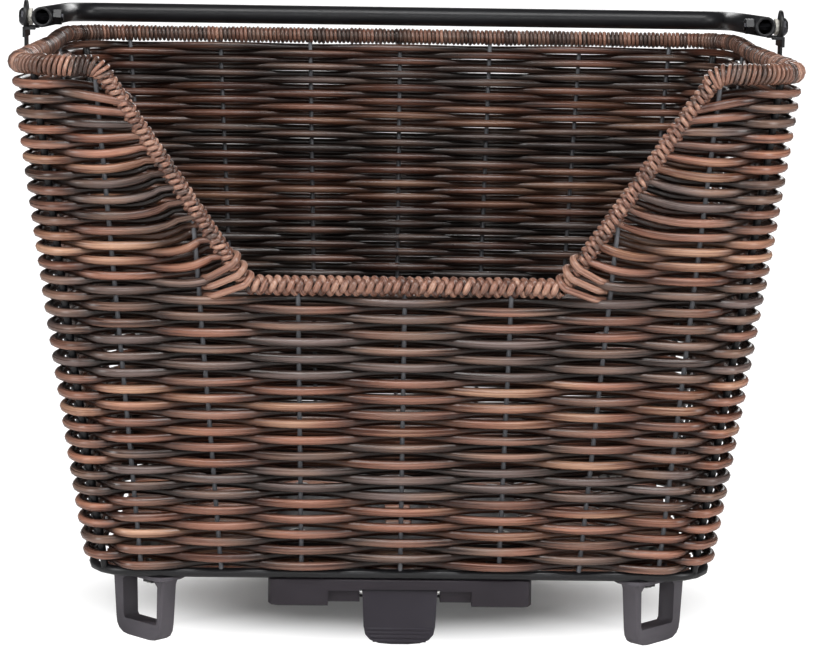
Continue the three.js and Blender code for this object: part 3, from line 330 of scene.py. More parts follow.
def strand_mesh(name, strands, sides, twist="MINIMUM"):
    """Sweeps every strand and returns them as one mesh that carries the three facts."""
    curve = bpy.data.curves.new(name, "CURVE")
    curve.dimensions = "3D"
    curve.fill_mode = "FULL"
    curve.bevel_depth = 1.0
    curve.bevel_resolution = sides // 2 - 2
    curve.twist_mode = twist
    for strand in strands:
        spline = curve.splines.new("POLY")
        spline.points.add(len(strand["points"]) - 1)
        radii = np.broadcast_to(strand["radii"], len(strand["points"]))
        for spot, point, radius in zip(spline.points, strand["points"], radii):
            spot.co = (*point, 1.0)
            spot.radius = radius
        spline.use_cyclic_u = strand["closed"]
    holder = bpy.data.objects.new(name, curve)
    bpy.context.collection.objects.link(holder)
    swept = holder.evaluated_get(bpy.context.evaluated_depsgraph_get())
    mesh = bpy.data.meshes.new_from_object(swept)
    bpy.data.objects.remove(holder)
    grain = np.zeros((len(mesh.vertices), 3))
    facts = {"tone": np.zeros(len(mesh.vertices)), "proud": np.zeros(len(mesh.vertices))}
    start = 0
    for number, strand in enumerate(strands):
        points = np.array([tuple(point) for point in strand["points"]])
        steps = np.linalg.norm(np.diff(points, axis=0), axis=1)
        along = np.concatenate(([0.0], np.cumsum(steps))) + number * apart_along
        radii = np.broadcast_to(strand["radii"], len(points))
        angles = 2 * math.pi * np.arange(sides) / sides
        stop = start + len(points) * sides
        grain[start:stop, 0] = np.repeat(along, sides)
        grain[start:stop, 1] = (radii[:, None] * np.cos(angles)).ravel() + number * apart_across
        grain[start:stop, 2] = (radii[:, None] * np.sin(angles)).ravel()
        for fact, values in facts.items():
            values[start:stop] = np.repeat(np.broadcast_to(strand[fact], len(points)), sides)
        start = stop
    mesh.attributes.new("grain", "FLOAT_VECTOR", "POINT").data.foreach_set("vector", grain.ravel())
    for fact, values in facts.items():
        mesh.attributes.new(fact, "FLOAT", "POINT").data.foreach_set("value", values)
    mesh.shade_smooth()
    return mesh


def new_piece(name, mesh, body, material, slot, *nodes):
    """Puts a mesh into the scene as a piece that rides on a body and may stand for CAD nodes."""
    mesh.materials.clear()
    mesh.materials.append(material)
    piece = bpy.data.objects.new(name, mesh)
    bpy.context.collection.objects.link(piece)
    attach(piece, body)
    if nodes:
        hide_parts(*nodes)
    print(name, "triangles:", sum(len(face.vertices) - 2 for face in mesh.polygons))
    return piece


# %% [markdown]
# The strands are synthetic cane: extruded polyethylene, drawn in two or three browns at once, so
# each strand has long streaks and fine grooves along its length and a satin gloss. The tone
# picks the strand's own brown, and a slow noise lets it drift. Two stretched noises lay lighter
# streaks over it, fine ones under a millimetre apart and broad ones about three, all some
# centimetres long. Where strands press on each other they are darkened, as painted shade. Where
# they stand proud they are lightened, as a painted highlight with some real rubbing, more on the
# outside of the wall than on its inside, where the painted shade is deeper.

# %% Cane
tone_names = {"charcoal": 0.1, "ash": 0.3, "umber": 0.5, "chestnut": 0.75, "tan": 1.0}
ground_browns = ["#23150f", "#2f1d16", "#3b2119", "#48271a", "#5d3928"]
streak_browns = ["#76645f", "#907262", "#a07361", "#ab7660", "#c59b80"]
winding_grounds = ["#241a17", "#33221d", "#452d26", "#583a31", "#6c4b40"]
winding_streaks = ["#6a554d", "#826456", "#936c5b", "#a27663", "#ba917c"]
# Waves per metre along and across the strand, and the noise's detail
groove_waves = ((22, 1500, 1500), 3.0)
band_waves = ((9, 330, 330), 2.0)
drift_waves = ((15, 40, 40), 1.0)
tone_drift = 1.7
groove_weight, band_weight = 0.55, 0.75  # each noise's part in the streaks
# A painted highlight, partly real rubbing: how standing proud adds to the streaks.
painted_highlight_power, painted_highlight_gain, painted_highlight_start = 1.5, 0.25, -0.16  # how standing proud adds to the streaks
streaks_begin, streaks_full = 0.5, 0.92
# Painted shade: how proud a strand stands where it is darkest, and where it is no longer darkened.
painted_shade_full, painted_shade_gone = 0.12, 0.65  # how proud a strand stands where dust is full, and where gone


def cane(name, grounds, streaks, gloss, deep, shine):
    """Grounds and streaks run from charcoal to tan; the shade depth is how dark full painted shade
    makes it.
    """
    material, tree = new_material(name)
    grain = add(tree, "ShaderNodeAttribute", {"attribute_name": "grain"})
    tone, proud = (add(tree, "ShaderNodeAttribute", {"attribute_name": fact}).outputs["Fac"]
                   for fact in ("tone", "proud"))
    noises = []
    for scale, detail in (groove_waves, band_waves, drift_waves):
        spread = add(tree, "ShaderNodeMapping", Vector=grain.outputs["Vector"], Scale=scale)
        noises.append(add(tree, "ShaderNodeTexNoise", Vector=spread.outputs[0], Scale=1.0,
                          Detail=detail))
    grooves, bands, slow = (noise.outputs["Fac"] for noise in noises)
    toned = calc(tree, "ADD", tone, calc(tree, "MULTIPLY_ADD", slow, tone_drift, -tone_drift / 2))
    ramps = []
    for codes in (grounds, streaks):
        ramp = add(tree, "ShaderNodeValToRGB", Fac=toned)
        while len(ramp.color_ramp.elements) < len(codes):
            ramp.color_ramp.elements.new(0.5)
        for at, code in enumerate(codes):
            ramp.color_ramp.elements[at].position = at / (len(codes) - 1)
            ramp.color_ramp.elements[at].color = colour(code)
        ramps.append(ramp.outputs["Color"])
    # Standing proud lightens the streaks: a painted highlight, with some real rubbing.
    wear_and_sheen = calc(tree, "MULTIPLY_ADD", calc(tree, "POWER", proud, painted_highlight_power), painted_highlight_gain, painted_highlight_start)
    fine = calc(tree, "MULTIPLY_ADD", grooves, groove_weight, wear_and_sheen)
    both = calc(tree, "MULTIPLY_ADD", bands, band_weight, fine)
    brown = mixed(tree, mapped(tree, both, 0.0, 1.0, streaks_begin, streaks_full), *ramps)
    # Painted shade: a strand is darkened where it lies deep between its neighbours.
    depth = mapped(tree, proud, deep, 1.0, painted_shade_full, painted_shade_gone)
    shaded = add(tree, "ShaderNodeHueSaturation", Color=brown, Value=depth)
    rough = mapped(tree, grooves, gloss, gloss + 0.22, 0.25, 0.75)
    bump = add(tree, "ShaderNodeBump", Height=grooves, Strength=0.6, Distance=0.3 * mm)
    skin = add(tree, "ShaderNodeBsdfPrincipled", Base_Color=shaded.outputs[0], Roughness=rough,
               Normal=bump.outputs[0], IOR=1.5, Specular_IOR_Level=shine)
    add(tree, "ShaderNodeOutputMaterial", Surface=skin.outputs[0])
    return material


woven_cane = cane("extruded_cane", ground_browns, streak_browns,
                  gloss=0.2, deep=0.3, shine=0.45)
winding_cane = cane("flat_winding_cane", winding_grounds, winding_streaks,
                    gloss=0.18, deep=0.16, shine=0.5)

# %% [markdown]
# Rows in a basket are never all one brown. The weaver works from bundles, so a few rows share a
# tone and then the next bundle starts. The bands below are in order from the base to the rim.

# %% Bands of rows and their tones
rows_of_tone = [(4, "umber"), (5, "chestnut"), (4, "charcoal"), (5, "umber"), (6, "chestnut"),
                (5, "charcoal"), (6, "ash"), (2, "umber"), (4, "tan"), (5, "umber"),
                (4, "charcoal"), (6, "chestnut"), (9, "ash")]
draw = random.Random(7)
row_tones = []
for count, tone_name in rows_of_tone:
    for _ in range(count):
        row_tones.append(min(1.0, max(0.0, tone_names[tone_name] + draw.uniform(-0.22, 0.22))))

# %% [markdown]
# Rows below the notch are whole rings whose two ends meet in the middle of the back. Between two
# stakes the strand crosses the wall's middle, and at a stake it stands clear of it by its own
# radius and the stake's. The strands are a little thicker than the rows are apart, because they
# press on each other. Above the sill they are slimmer and closer. Hands are not machines, so
# the rows wander a little, together with their neighbours.

# %% How a row runs
strand_radius = 2.32 * mm
upper_strand_radius = 2.26 * mm
lower_pitch = 4.24 * mm
upper_pitch = 3.82 * mm
top_row_lift = 1.3 * mm
swing = stake_radius + strand_radius
# Inside the wall a strand keeps this share of its proud, so it gets less painted highlight and more
# painted shade there.
inside_proud_share = 0.55  # how pale a strand is rubbed inside the wall, as a share of the outside
steps_per_stake = 10
strand_sides = 8


def wander(along, height, row):
    """How far a row strays: slow waves shared by its neighbours, and a little of its own."""
    turned = 2 * math.pi * along / wall_length(height)
    shared = 0.45 * math.sin(3 * turned + height / (37 * mm)) * math.sin(height / (23 * mm))
    own = 0.1 * math.sin(9 * turned + row * 2.4)
    return (shared + own) * mm


def row_heights(node, wanted, lift=0.0):
    """An even number of rows over a node's height. A lift draws the top row up towards the rim."""
    low, high = (corner[2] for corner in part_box(node))
    high += lift
    count = 2 * round((high - low) / (2 * wanted))
    pitch = (high - low) / count
    return [low + (at + 0.5) * pitch for at in range(count)]


def side_of(stake, row):
    """1 where a row passes outside a stake, -1 where it passes inside."""
    return 1 if (stake + row) % 2 else -1


def reach_at(stake):
    """How far a row stands off the wall's middle at a stake."""
    return strand_radius + (corner_stake_radius if stake in corner_stakes else stake_radius)


def between_stakes(places, first, row, height):
    """The strand from stake number first to the next: along and offset at each step."""
    start = places[first % len(places)]
    stop = places[(first + 1) % len(places)]
    if stop < start:
        stop += wall_length(height)
    reaches = reach_at(first), reach_at((first + 1) % len(places))
    steps = []
    for step in range(steps_per_stake):
        u = step / steps_per_stake
        wave = side_of(first, row) * math.cos(math.pi * u)
        offset = wave * (reaches[0] + (reaches[1] - reaches[0]) * u)
        steps.append((start + (stop - start) * u, offset))
    return steps


# %% Rows below the notch
def proud_by_offset(mesh):
    """Sets proud by how far each vertex stands off the middle, less inside, for painted highlight
    and shade.
    """
    spots = np.zeros(3 * len(mesh.vertices))
    mesh.vertices.foreach_get("co", spots)
    x, y, z = spots.reshape(-1, 3).T
    a, b, r = wall_at(z)
    past = np.stack([np.abs(x) - a + r, np.abs(y) - b + r])
    off = np.linalg.norm(np.maximum(past, 0), axis=0) + np.minimum(past.max(axis=0), 0) - r
    proud = np.minimum(1, np.abs(off) / (swing + strand_radius)) * np.where(off > 0, 1, inside_proud_share)
    mesh.attributes["proud"].data.foreach_set("value", proud)
    return mesh


def ring_row(row, height):
    """A whole ring. Its two ends meet at the middle of the back."""
    places = stake_places(height)
    points = []
    # The numbers run on past the last stake, where reach_at doesn't know the corners any more, so
    # a row draws in by 0.8 mm as it passes each corner stake on the right
    for first in range(back_stake, back_stake + len(places)):
        for along, offset in between_stakes(places, first, row, height):
            points.append(wall_point(along, height + wander(along, height, row), offset))
    return strand_of(points + points[:1], strand_radius, row_tones[row])


low_rows = row_heights("weave_lower", lower_pitch)
high_rows = row_heights("weave_upper", upper_pitch, top_row_lift)
print("rows below the notch:", len(low_rows), "and above:", len(high_rows))
rings = [ring_row(row, height) for row, height in enumerate(low_rows)]
new_piece("woven_wall_lower", proud_by_offset(strand_mesh("woven_wall_lower", rings, strand_sides, "Z_UP")),
          "root", woven_cane, "cane", "weave_lower")

# %% [markdown]
# Above the sill a row can't close. It runs from one slanted edge round the back to the other,
# climbs as it nears the edge wire, turns round that wire and comes back on the other side of the
# stakes as the next row. It is pulled thin there, so that the plait over it stays slim. Two
# rows and their two turns make one closed loop.

# %% The notch and the turns at its edge
notch_half_top = 152 * mm
notch_half_sill = 79.5 * mm
sill_height = 191 * mm
edge_wire_radius = 2.0 * mm
turn_cane_radius = 1.7 * mm
turn_radius = edge_wire_radius - 0.2 * mm
turn_steps = 12


def smooth(u):
    """From 0 to 1 with a soft start and a soft stop."""
    u = min(1.0, max(0.0, u))
    return u * u * (3 - 2 * u)


def above_sill(height):
    """0 at the sill and 1 at the rim."""
    return (height - sill_height) / (rim_height - sill_height)


def edge_x(height):
    """How far out the slanted edge wire stands at a height."""
    return notch_half_sill + (notch_half_top - notch_half_sill) * above_sill(height)


def edge_turn(side, low, high, sign, radius=turn_radius):
    """The strand's way round the slanted wire from one row's end to the next row's start."""
    foot = Vector((side * edge_x(low), -wall_at(low)[1], low))
    head = Vector((side * edge_x(high), -wall_at(high)[1], high))
    axis = (head - foot).normalized()
    outward = Vector((0, -1, 0))
    outward = (outward - axis * outward.dot(axis)).normalized()
    inward = Vector((-side, 0, 0))
    inward = (inward - axis * inward.dot(axis)).normalized()
    points = []
    for step in range(turn_steps + 1):
        u = step / turn_steps
        angle = math.pi * u
        points.append(foot.lerp(head, u) + radius * (
            outward * sign * math.cos(angle) + inward * math.sin(angle)))
    return points


# %% Rows that turn back at the notch
climb = 8 * mm
climb_reach = 32 * mm
back_lift = 4.2 * mm  # how much nearer the rim the top row comes at the back
back_lift_reach = 60 * mm
clear_of_edge = 7 * mm  # a stake nearer to the slanted wire than this is left out
run_steps = 9
long_run = 50 * mm
flattening = 0.55
thin_steps = 3
edge_low = sill_height + 2.5 * mm
edge_high = rim_height - 14 * mm


def end_run(near, far, sign):
    """From the slanted wire to the first stake beside it. A long run lies flatter on its way."""
    run = []
    flatter = flattening * min(1.0, abs(far - near) / long_run)
    for step in range(1, run_steps):
        u = step / run_steps
        dip = 1 - flatter * math.sin(math.pi * u) ** 2
        offset = sign * (turn_radius + (swing - turn_radius) * smooth(u)) * dip
        run.append((near + (far - near) * u, offset))
    return run


def open_row(row, height, end):
    """A row from the right edge wire, round the back, to the left edge wire."""
    places = stake_places(height)
    standing = []
    for at, place in enumerate(places):
        spot = wall_point(place, height)
        if spot.y > 0 or abs(spot.x) >= edge_x(end) + clear_of_edge:
            standing.append(at)
    first, last = standing[0], standing[-1]
    right_end = edge_x(end)
    left_end = wall_length(height) - right_end
    line = end_run(right_end, places[first], side_of(first, row))
    for at in range(first, last):
        line += between_stakes(places, at, row, height)
    line.append((places[last], side_of(last, row) * swing))
    line += end_run(left_end, places[last], side_of(last, row))[::-1]
    points = []
    for along, offset in line:
        nearness = max(0.0, 1 - min(along - right_end, left_end - along) / climb_reach) ** 2
        z = height + wander(along, height, row) + (end - height) * nearness
        point = wall_point(along, z, offset)
        point.z += back_lift * smooth(point.y / back_lift_reach) * above_sill(height)
        points.append(point)
    return points, side_of(first, row), side_of(last, row)


def end_height(place):
    """Where on the slanted wire a row ends: the lower rows climb to it, the top ones droop."""
    share = place / len(high_rows)
    return edge_low + (edge_high - edge_low) * share + climb * math.sin(math.pi * share)


def pulled_thin(count):
    """The radii of a row, which shrink over the last few steps before the slanted wire."""
    nearness = [max(0.0, 1 - min(at, count - 1 - at) / thin_steps) for at in range(count)]
    thinning = turn_cane_radius - upper_strand_radius
    return [upper_strand_radius + thinning * near for near in nearness]


loops = []
for pair in range(len(high_rows) // 2):
    row = len(low_rows) + 2 * pair
    ends = [end_height(2 * pair), end_height(2 * pair + 1)]
    lower, right_side, left_side = open_row(row, high_rows[2 * pair], ends[0])
    upper, _, _ = open_row(row + 1, high_rows[2 * pair + 1], ends[1])
    left_turn = edge_turn(-1, ends[0], ends[1], left_side)
    right_turn = edge_turn(1, ends[0], ends[1], right_side)
    turn_radii = [turn_cane_radius] * len(left_turn)
    loops.append(strand_of(
        lower + left_turn + upper[::-1] + right_turn[::-1],
        pulled_thin(len(lower)) + turn_radii + pulled_thin(len(upper)) + turn_radii,
        row_tones[row], closed=True))
new_piece("woven_wall_upper", proud_by_offset(strand_mesh("woven_wall_upper", loops, strand_sides)), "root",
          woven_cane, "cane", "weave_upper")

# %% [markdown]
# The rim is wound: a thin cane goes round and round the wire, each turn against the last, over
# a bundle of waste strands that makes the roll thick. A helix along the path gives the turns,
# and a plain tube under them stands for the bundle. Turns lean and stand out unevenly, and the
# tone changes every few turns. The winding runs on round the notch's upper corners. At the back
# the bundle holds fewer strands, so the roll is thinner, and the rim stands a little higher.

# %% Paths with rounded corners and even steps
def fillet_path(corners, steps):
    """A path through corner points, each rounded on its own radius."""
    path = [corners[0][0]]
    for (before, _), (point, radius), (after, _) in zip(corners, corners[1:], corners[2:]):
        into = (point - before).normalized()
        out = (after - point).normalized()
        turn_angle = into.angle(out)
        reach = radius * math.tan(turn_angle / 2)
        centre = point + (out - into).normalized() * radius / math.cos(turn_angle / 2)
        start = point - into * reach - centre
        axis = into.cross(out).normalized()
        for step in range(steps + 1):
            path.append(centre + Matrix.Rotation(turn_angle * step / steps, 3, axis) @ start)
    path.append(corners[-1][0])
    return path


def even_steps(path, spacing):
    """The same path with points at even spacing."""
    points = np.array([tuple(point) for point in path])
    lengths = np.concatenate(([0.0], np.cumsum(np.linalg.norm(np.diff(points, axis=0), axis=1))))
    count = max(2, int(lengths[-1] / spacing))
    targets = np.linspace(0, lengths[-1], count + 1)
    return [Vector([np.interp(t, lengths, points[:, axis]) for axis in range(3)]) for t in targets]


# %% Windings
back_thinning = 0.7 * mm
back_rise_height = 1.8 * mm
back_rise_reach = 80 * mm
back_shade = 0.3  # the winding is darker at the back


def roll_radius(point, radius):
    """The roll's radius at a point, a little less at the back than at the front."""
    return radius - back_thinning * smooth(point.y / (2 * rim_half_width) + 0.5)


def back_rise(point):
    """How far the rim is raised at a point: nothing in front, most at the back."""
    return Vector((0, 0, back_rise_height * smooth(point.y / back_rise_reach - 0.3)))


def winding(path, radius, cane_radius, pitch, lean, tones, run_length, seed, steps=12):
    """A cane wound round a path as one strand whose tone changes every few turns."""
    rnd = random.Random(seed)
    line = even_steps(path, pitch / steps)
    points = []
    radii = []
    tone = []
    turns_left = 0
    for at in range(len(line)):
        axis = (line[min(at + 2, len(line) - 1)] - line[max(at - 2, 0)]).normalized()
        sideways = axis.cross(Vector((0, 0, 1)))
        sideways = sideways.normalized() if sideways.length > 0.1 else Vector((0, -1, 0))
        up = sideways.cross(axis)
        angle = 2 * math.pi * at / steps
        if at % steps == 0:
            swell = rnd.uniform(0.93, 1.05)
            if turns_left == 0:
                turns_left = rnd.randint(*run_length)
                shade = rnd.choice(tones) + rnd.uniform(-0.12, 0.12)
                shade -= back_shade if line[at].y > 0 else 0
            turns_left -= 1
        slide = lean * math.sin(angle) * axis
        reach = roll_radius(line[at], radius) * swell
        around = sideways * math.cos(angle) + up * math.sin(angle)
        points.append(line[at] + slide + reach * around)
        radii.append(cane_radius * swell)
        tone.append(min(1.0, max(0.0, shade)))
    return strand_of(points, radii, tone, 0.9)


def bundle(path, radius):
    """The waste strands inside a winding, as one charcoal tube with no proud, so full painted
    shade.
    """
    points = even_steps(path, 4 * mm)
    return strand_of(points, [roll_radius(point, radius) for point in points],
                     tone_names["charcoal"])


# %% Winding of the rim
front = -rim_half_width
notch_top = Vector((notch_half_top, front, rim_height))
sill_end = Vector((notch_half_sill, -wall_at(sill_height)[1], sill_height))
flip = Vector((-1, 1, 1))
notch_bend = 9 * mm
roll_reach = 4.4 * mm  # from the wire to the middle of the winding's cane
roll_cane_radius = 1.1 * mm
turn_pitch = 2.4 * mm
turn_lean = 0.7 * mm
bundle_radius = 3.8 * mm
roll_tones = (0.1, 0.4, 0.7, 0.95)
rim_start = notch_top.lerp(sill_end, 0.045)
rim_path = fillet_path([
    (rim_start, 0), (notch_top, notch_bend),
    (Vector((rim_half_length, front, rim_height)), rim_corner),
    (Vector((rim_half_length, -front, rim_height)), rim_corner),
    (Vector((-rim_half_length, -front, rim_height)), rim_corner),
    (Vector((-rim_half_length, front, rim_height)), rim_corner),
    (notch_top * flip, notch_bend), (rim_start * flip, 0)], 16)
rim_path = [point + back_rise(point) for point in even_steps(rim_path, 2 * mm)]
rim_turns = winding(rim_path, roll_reach, roll_cane_radius, turn_pitch, turn_lean, roll_tones,
                    run_length=(1, 3), seed=11)
rim_strands = [rim_turns, bundle(rim_path, bundle_radius)]
new_piece("rim_winding", strand_mesh("rim_winding", rim_strands, 6), "root",
          winding_cane, "wrap_cane", "rim_wrap")

# %% [markdown]
# The notch's edges and the sill carry a plait instead, and its crossing strands look like two
# rows of knobs. Two strands go round the wire one way and two the other way. Where they meet, one
# rides over the other, so each strand's distance from the wire swells and sinks twice in a
# turn, and the two directions take it in turn to be outside.

# %% A plait round a path
def plait(path, radius, cane_radius, pitch, tones, seed, steps=18):
    """Four strands round a path, two each way; pitch is one whole turn of a strand."""
    rnd = random.Random(seed)
    line = even_steps(path, pitch / steps)
    strands = []
    for hand in (1, -1):
        for start in (0, math.pi):
            points = []
            tone = []
            proud = []
            for at, centre in enumerate(line):
                axis = (line[min(at + 1, len(line) - 1)] - line[max(at - 1, 0)]).normalized()
                outward = Vector((0, -1, 0))
                outward = (outward - axis * outward.dot(axis)).normalized()
                up = outward.cross(axis)
                turned = 2 * math.pi * at / steps
                if at % (steps // 2) == 0:
                    shade = min(1.0, max(0.0, rnd.choice(tones) + rnd.uniform(-0.15, 0.15)))
                    swell = rnd.uniform(0.95, 1.05)
                over = hand * math.cos(2 * turned)
                reach = (radius + 0.4 * cane_radius * over) * swell
                angle = hand * turned + start
                points.append(centre + reach * (outward * math.cos(angle) + up * math.sin(angle)))
                tone.append(shade)
                # Under its neighbour proud drops, for painted shade; over it proud rises, for a
                # painted highlight.
                proud.append(0.6 + 0.4 * over)
            strands.append(strand_of(points, cane_radius, tone, proud))
    return strands


# %% Plaits of the notch
edge_tones = (0.3, 0.55, 0.8, 1.0)
sill_tones = (0.5, 0.75, 0.95)
sill_overrun = 6 * mm  # how far the sill's plait runs on under the slanted ones

for side_name, across in (("left", flip), ("right", Vector((1, 1, 1)))):
    name = f"notch_plait_{side_name}"
    edge_path = [(notch_top + (sill_end - notch_top) * share) * across
                 for share in (0.04, 0.5, 0.985)]
    strands = plait(edge_path, radius=2.9 * mm, cane_radius=1.25 * mm, pitch=6.6 * mm,
                    tones=edge_tones, seed=len(side_name))
    new_piece(name, strand_mesh(name, strands, 8), "root", winding_cane, "wrap_cane",
              f"notch_wrap_{side_name}")

sill_low, sill_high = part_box("sill_wrap")
sill_path = [Vector((sill_low.x - sill_overrun, sill_end.y, sill_height)),
             Vector((sill_high.x + sill_overrun, sill_end.y, sill_height))]
sill_strands = plait(sill_path, radius=3.0 * mm, cane_radius=1.75 * mm, pitch=8.8 * mm,
                     tones=sill_tones, seed=5)
sill_strands.append(bundle(sill_path, 2.8 * mm))
new_piece("sill_plait", strand_mesh("sill_plait", sill_strands, 8), "root",
          winding_cane, "wrap_cane", "sill_wrap")

# %% [markdown]
# Three ties fan out at each lower corner of the notch, where plait, sill and rows pull against
# each other. Each comes from behind the nearest stake, lies over the rows and goes round the
# plait and the edge wire. Its ends are drawn to a point and tucked away.

# %% Ties at the notch's lower corners
tie_radius = 1.75 * mm
tie_tip = 0.2 * mm
tie_behind = -3 * mm  # behind the wall's middle at its start
tie_climb = 8.2 * mm  # and this much farther out once it lies over the rows
tie_steps = 14
tie_turn = 5 * mm  # its reach round the edge wire
tie_rise = 3 * mm  # and how far it climbs on its way round
tie_stake = 2  # counted from the middle of the front
ties_of_corner = ((7 * mm, 1 * mm, 0.9), (2.5 * mm, 6 * mm, 1.0), (-2 * mm, 11 * mm, 0.8))


def corner_tie(side, drop, rise, tone):
    """A tie that starts a drop below the sill and ends a rise above it."""
    low, high = sill_height - drop, sill_height + rise
    start, stop = stake_places(low)[tie_stake], edge_x(high)
    line = []
    for step in range(tie_steps + 1):
        u = step / tie_steps
        offset = tie_behind + tie_climb * smooth(u / 0.4)
        along = side * (start + (stop - start) * u)
        line.append(wall_point(along, low + (high - low) * u, offset))
    line += edge_turn(side, high, high + tie_rise, 1, tie_turn)
    radii = [tie_radius] * len(line)
    radii[0] = radii[-1] = tie_tip
    return strand_of(line, radii, tone, 0.95)


for side_name, side in (("left", -1), ("right", 1)):
    name = f"corner_ties_{side_name}"
    ties = [corner_tie(side, drop, rise, tone) for drop, rise, tone in ties_of_corner]
    new_piece(name, strand_mesh(name, ties, 8), "root", winding_cane, "wrap_cane")

# %% [markdown]
# The floor is woven too, with strands that run from side to side over and under the floor wires.
# It lies inside the wall's foot, so each strand ends where the rounded outline does.

# %% Woven floor
floor_pitch = 4.03 * mm
floor_steps = 64
floor_inset = 5.5 * mm  # from the wall's middle to the floor's edge
floor_least_corner = 15 * mm
floor_low, floor_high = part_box("weave_floor")
floor_z = (floor_low.z + floor_high.z) / 2
floor_a, floor_b, floor_r = (size - floor_inset for size in wall_at(floor_low.z + 5 * mm))
floor_r = max(floor_r, floor_least_corner)
floor_wires = [back_pitch[0] * at for at in range(-long_stakes, long_stakes + 1)]


def floor_row(number, y):
    """A strand from side to side at a depth y, over one floor wire and under the next."""
    inside = max(0.0, abs(y) - (floor_b - floor_r))
    end = floor_a - floor_r + math.sqrt(max(0.0, floor_r ** 2 - inside ** 2)) - strand_radius
    sign = 1 if number % 2 == 0 else -1
    points = []
    proud = []
    for step in range(floor_steps + 1):
        x = -end + 2 * end * step / floor_steps
        wave = math.cos(math.pi * (x / back_pitch[0]))
        drift = 0.25 * mm * math.sin(x / (31 * mm) + number)
        points.append(Vector((x, y + drift, floor_z + sign * swing * wave)))
        # Proud is highest at each floor wire, for a painted highlight, and lowest between, for
        # painted shade.
        proud.append(abs(wave))
    tone = min(1.0, max(0.0, 0.45 + draw.uniform(-0.35, 0.35)))
    return strand_of(points, strand_radius, tone, proud)


floor_count = int((2 * floor_b - 4 * mm) / floor_pitch)
floor_rows = [floor_row(at, (at - (floor_count - 1) / 2) * floor_pitch)
              for at in range(floor_count)]
new_piece("woven_floor", strand_mesh("woven_floor", floor_rows, strand_sides, "Z_UP"), "root",
          woven_cane, "cane", "weave_floor")

# %% [markdown]
# The metal is mild steel wire, tube and sheet under black powder coat, which flows out to a soft
# gloss with a faint orange peel about a millimetre across. The stakes and the floor's wires take
# a second, grey colour: worn coat where the strands were driven down them, and a painted sheen
# along each wire. The feet, the adapter and its lever are moulded in glass-filled nylon: matt, a
# little grey, with a fine spark-eroded grain. Screws and washers are zinc plated, dulled on the
# pivot bolts. The nuts of the feet and the pivots are black, and the pivot spacers are nylon.

# %% Paint, plastic and zinc
def noise_of(tree, size, detail):
    """A noise in the piece's own space. Its size is in millimetres."""
    place = add(tree, "ShaderNodeTexCoord")
    return add(tree, "ShaderNodeTexNoise", Vector=place.outputs["Object"], Scale=1000 / size,
               Detail=detail).outputs["Fac"]


def powder_coat(name, code, worn_code, wear_and_sheen_code, gloss):
    """Worn patches come from a noise; parts with a tone take a grey of worn coat and painted sheen.
    """
    material, tree = new_material(name)
    peel = noise_of(tree, 1.1, 2.0)
    worn = noise_of(tree, 28, 4.0)
    wear_and_sheen = add(tree, "ShaderNodeAttribute", {"attribute_name": "tone"})
    coat = mixed(tree, worn, colour(code), colour(worn_code))
    shade = mixed(tree, wear_and_sheen.outputs["Fac"], coat, colour(wear_and_sheen_code))
    bump = add(tree, "ShaderNodeBump", Height=peel, Strength=0.25, Distance=0.05 * mm)
    skin = add(tree, "ShaderNodeBsdfPrincipled", Base_Color=shade, Normal=bump.outputs[0],
               Roughness=mapped(tree, worn, gloss, gloss + 0.14), IOR=1.5, Specular_IOR_Level=0.38)
    add(tree, "ShaderNodeOutputMaterial", Surface=skin.outputs[0])
    return material


def moulded_nylon(name, code, pale):
    material, tree = new_material(name)
    grit = noise_of(tree, 0.5, 2.0)
    flow = noise_of(tree, 22, 3.0)
    bump = add(tree, "ShaderNodeBump", Height=grit, Strength=0.35, Distance=0.06 * mm)
    skin = add(tree, "ShaderNodeBsdfPrincipled", Normal=bump.outputs[0],
               Base_Color=mixed(tree, flow, colour(code), colour(pale)),
               Roughness=mapped(tree, flow, 0.42, 0.6), IOR=1.53, Specular_IOR_Level=0.25)
    add(tree, "ShaderNodeOutputMaterial", Surface=skin.outputs[0])
    return material


def zinc_plate(name, dark, light):
    material, tree = new_material(name)
    cloud = noise_of(tree, 2.5, 3.0)
    skin = add(tree, "ShaderNodeBsdfPrincipled", Metallic=1.0,
               Base_Color=mixed(tree, cloud, colour(dark), colour(light)),
               Roughness=mapped(tree, cloud, 0.22, 0.42))
    add(tree, "ShaderNodeOutputMaterial", Surface=skin.outputs[0])
    return material


black_coat = powder_coat("black_powder_coat", "#0b0b0d", "#1d1d20", "#5b5c60", 0.32)
foot_nylon = moulded_nylon("foot_nylon", "#434046", "#5a565b")
adapter_nylon = moulded_nylon("adapter_nylon", "#221e23", "#2c272d")
lever_nylon = moulded_nylon("lever_nylon", "#232027", "#2e2a31")
natural_nylon = moulded_nylon("natural_nylon", "#cfccc2", "#dedbd2")
zinc = zinc_plate("zinc_plate", "#8f9092", "#c2c2be")
dull_zinc = zinc_plate("dull_zinc_plate", "#2e2e31", "#4c4c50")

# %% [markdown]
# The wire frame shows between the strands and as the dark ring under them. The CAD wires have
# six flat sides, so round ones take their place. A stake that meets the notch stops there.

# %% Round wires
ring_wire_radius = 2.5 * mm
ring_steps = 120
stake_steps = 60
sill_bend = 11 * mm
rim_overlap = 9 * mm  # how far the notch's wire lies along the rim's
# A wire with a tone takes the coat's grey: worn coat and a painted sheen along it.
plain, wear_and_sheen = 0.0, 1.0  # a wire's tone


